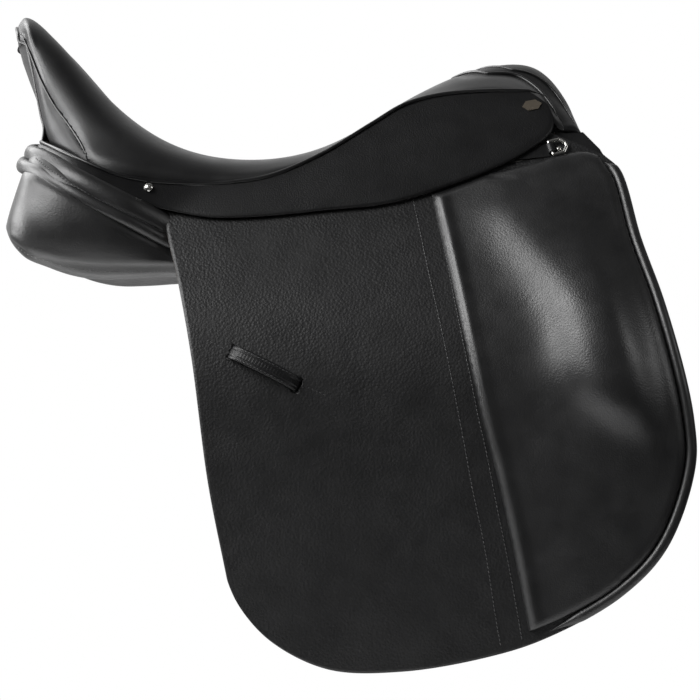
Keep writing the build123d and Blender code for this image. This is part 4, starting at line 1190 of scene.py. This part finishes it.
def panel(side):
    """One stuffed cushion with rounded ends, its two rolls and its stitches."""
    xs = sorted(PANEL_RIBS)
    at = np.concatenate([np.linspace(-224, -60, 110)[:-1], np.linspace(-60, 250, 110)])
    rows = table(xs, [PANEL_RIBS[x] for x in xs], at)
    rings = [smooth(r, 133, closed=True)[:-1] for r in rows]
    spots = list(at)
    for first, front in ((rings[0], False), (rings[-1], True)):
        mid = first.mean(axis=0)
        extra = [(mid + (first - mid) * k, x)
                 for k, x in ((0.93, 1.6), (0.78, 2.9), (0.5, 3.9), (0.2, 4.3))]
        if front:
            rings += [r for r, _ in extra]
            spots += [at[-1] + x for _, x in extra]
        else:
            rings = [r for r, _ in extra[::-1]] + rings
            spots = [at[0] - x for _, x in extra[::-1]] + spots
    g = soften(np.array([[(x, -h, z) for h, z in ring] for x, ring in zip(spots, rings)]), 40, True)
    out = unit(np.cross(np.gradient(g, axis=0), np.roll(g, -1, axis=1) - np.roll(g, 1, axis=1)), 1e-9)
    middle = g.mean(axis=1, keepdims=True)
    if ((g - middle) * out).sum() < 0:
        out = -out
    flat, n = g.reshape(-1, 3), out.reshape(-1, 3)
    side_on = step(0.15, 0.5, -n[:, 1]) * step(-50, -80, flat[:, 0])
    d = away(flat[:, [0, 2]], even(smooth(PANEL_SEAM, 200), 200))
    move = 0.8 * gauss(d - 6, 3.5) - 1.7 * gauss(d, 2.6)
    d = away(flat[:, [0, 2]], even(smooth(ROLL_FOOT, 200), 200))
    move = move - 2.2 * gauss(d, 4.0)
    belly = np.exp(-(((flat[:, 0] + 176) / 44) ** 2 + ((flat[:, 2] + 16) / 22) ** 2))
    move += 2.2 * belly
    flat = flat + n * (move * side_on)[:, None]
    rings_n, cols = g.shape[:2]
    faces = [tuple(f) for f in grid_faces(rings_n, cols, wrap_cols=True)]
    flat[:, 2] += 3.0 * step(-36, -50, flat[:, 2]) * step(-50, -90, flat[:, 0])
    verts = side_points(flat, side)
    faces += [tuple(range(cols))[::-1], tuple((rings_n - 1) * cols + k for k in range(cols))]
    obj = piece("panel_hide", side, verts, faces, [panel_leather])
    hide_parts(f"panel_{side}")
    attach(obj, "saddle")
    rolls = [facing_roll("upper", side), facing_roll("lower", side)]
    tree = tree_of(obj, *rolls)
    line, up = onto(tree, even(smooth(ROLL_SEAM[:-1], 140), 140), side, 0.25)
    sewn = thread("panel_stitching", side, [(line, up)], pitch=3.2, length=2.3, width=0.7, height=0.5)
    line, up = onto(tree, even(smooth(PANEL_SEAM[:-1], 140), 140), side, 0.05)
    light = thread("panel_seam_stitching", side, [(line, up)], thread_grey, pitch=3.6, length=1.9,
                   width=0.45, height=0.3)
    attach(sewn, "saddle")
    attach(light, "saddle")


for side in SIDES:
    panel(side)


# --- the rest keeps its CAD shape ---
REST = {
    "tree_head": beech, "tree_cantle": beech, "tree_rail": beech, "tree_spring": dark_steel,
    "head_plate": dark_steel, "gullet_plate": dark_steel, "seat_foam": foam, "seat_web_long": linen,
    "seat_web_cross": linen, "gullet_lining": panel_leather, "sweat_flap": strap_leather,
    "point_pocket": strap_leather, "stirrup_bar": nickel, "bar_catch": nickel, "girth_web_front": linen,
    "girth_web_rear": linen, "saddle_nail": nickel, "badge": pewter, "dee_chape": strap_leather,
    "dee_nail": nickel, "dee_ring": nickel, "billet_front": strap_leather, "billet_rear": strap_leather,
}
for node in list(NODES):
    for stem, look in REST.items():
        if node == stem or node in (f"{stem}_right", f"{stem}_left"):
            paint(node, look)


# --- camera, floor and lights ---
EYE = (0.0514, -2.2, -0.113)  # camera, in metres, level with the middle of the saddle
FLOOR_R, FLOOR_Z = 850, -600.0


def look_at(obj, spot):
    obj.rotation_euler = (Vector(spot) - obj.location).to_track_quat("-Z", "Y").to_euler()


def studio():
    cam_data = bpy.data.cameras.new("camera")
    cam_data.lens, cam_data.sensor_width = 132.2, 36.0
    cam = bpy.data.objects.new("camera", cam_data)
    bpy.context.scene.collection.objects.link(cam)
    cam.location = EYE
    look_at(cam, (EYE[0], 0.0, EYE[2]))
    bpy.context.scene.camera = cam

    pale = bpy.data.materials.new("pale_ground")
    pale.use_nodes = True
    shader = pale.node_tree.nodes["Principled BSDF"]
    shader.inputs["Base Color"].default_value = (0.9, 0.9, 0.9, 1)
    shader.inputs["Roughness"].default_value = 0.9
    turn = np.linspace(0, 2 * math.pi, 97)[:-1]
    disc = np.stack([FLOOR_R * np.cos(turn), FLOOR_R * np.sin(turn), np.full(96, FLOOR_Z)], -1)
    floor = add_mesh("floor", disc, [tuple(range(96))], [pale], False)

    world = bpy.data.worlds.new("studio")
    world.use_nodes = True
    nodes, links = world.node_tree.nodes, world.node_tree.links
    back = nodes["Background"]
    back.inputs["Color"].default_value = (1, 1, 1, 1)
    seen, where = nodes.new("ShaderNodeLightPath"), nodes.new("ShaderNodeTexCoord")
    parts = nodes.new("ShaderNodeSeparateXYZ")
    links.new(where.outputs["Generated"], parts.inputs[0])
    behind = ramp(nodes, links, parts.outputs["Y"], 0.1, 0.9, 0.08, 0.95)
    aside = ramp(nodes, links, parts.outputs["X"], 0.0, 0.8, 1.0, 0.25)
    above = ramp(nodes, links, parts.outputs["Z"], -0.5, 0.1, 0.25, 1.0)
    level = math_node(nodes, links, "MULTIPLY", behind, aside)
    around = math_node(nodes, links, "MULTIPLY", level, above)
    strength = math_node(nodes, links, "MAXIMUM", around, seen.outputs["Is Camera Ray"])
    links.new(strength, back.inputs["Strength"])
    bpy.context.scene.world = world
    bpy.context.scene.view_settings.view_transform = "Standard"

    for name, place, size, power in (
        ("key", (-1.7, -1.4, 1.5), 1.7, 75.0),
        ("top", (-1.5, 0.9, 1.5), 1.4, 42.0),
        ("left", (-2.0, 0.0, 0.35), 1.2, 42.0),
        ("front", (1.9, -0.9, 0.8), 0.7, 5.0),
    ):
        data = bpy.data.lights.new(name, "AREA")
        data.size, data.energy = size, power
        lamp = bpy.data.objects.new(name, data)
        bpy.context.scene.collection.objects.link(lamp)
        lamp.location = place
        look_at(lamp, (0.0, 0.0, -0.05))


studio()
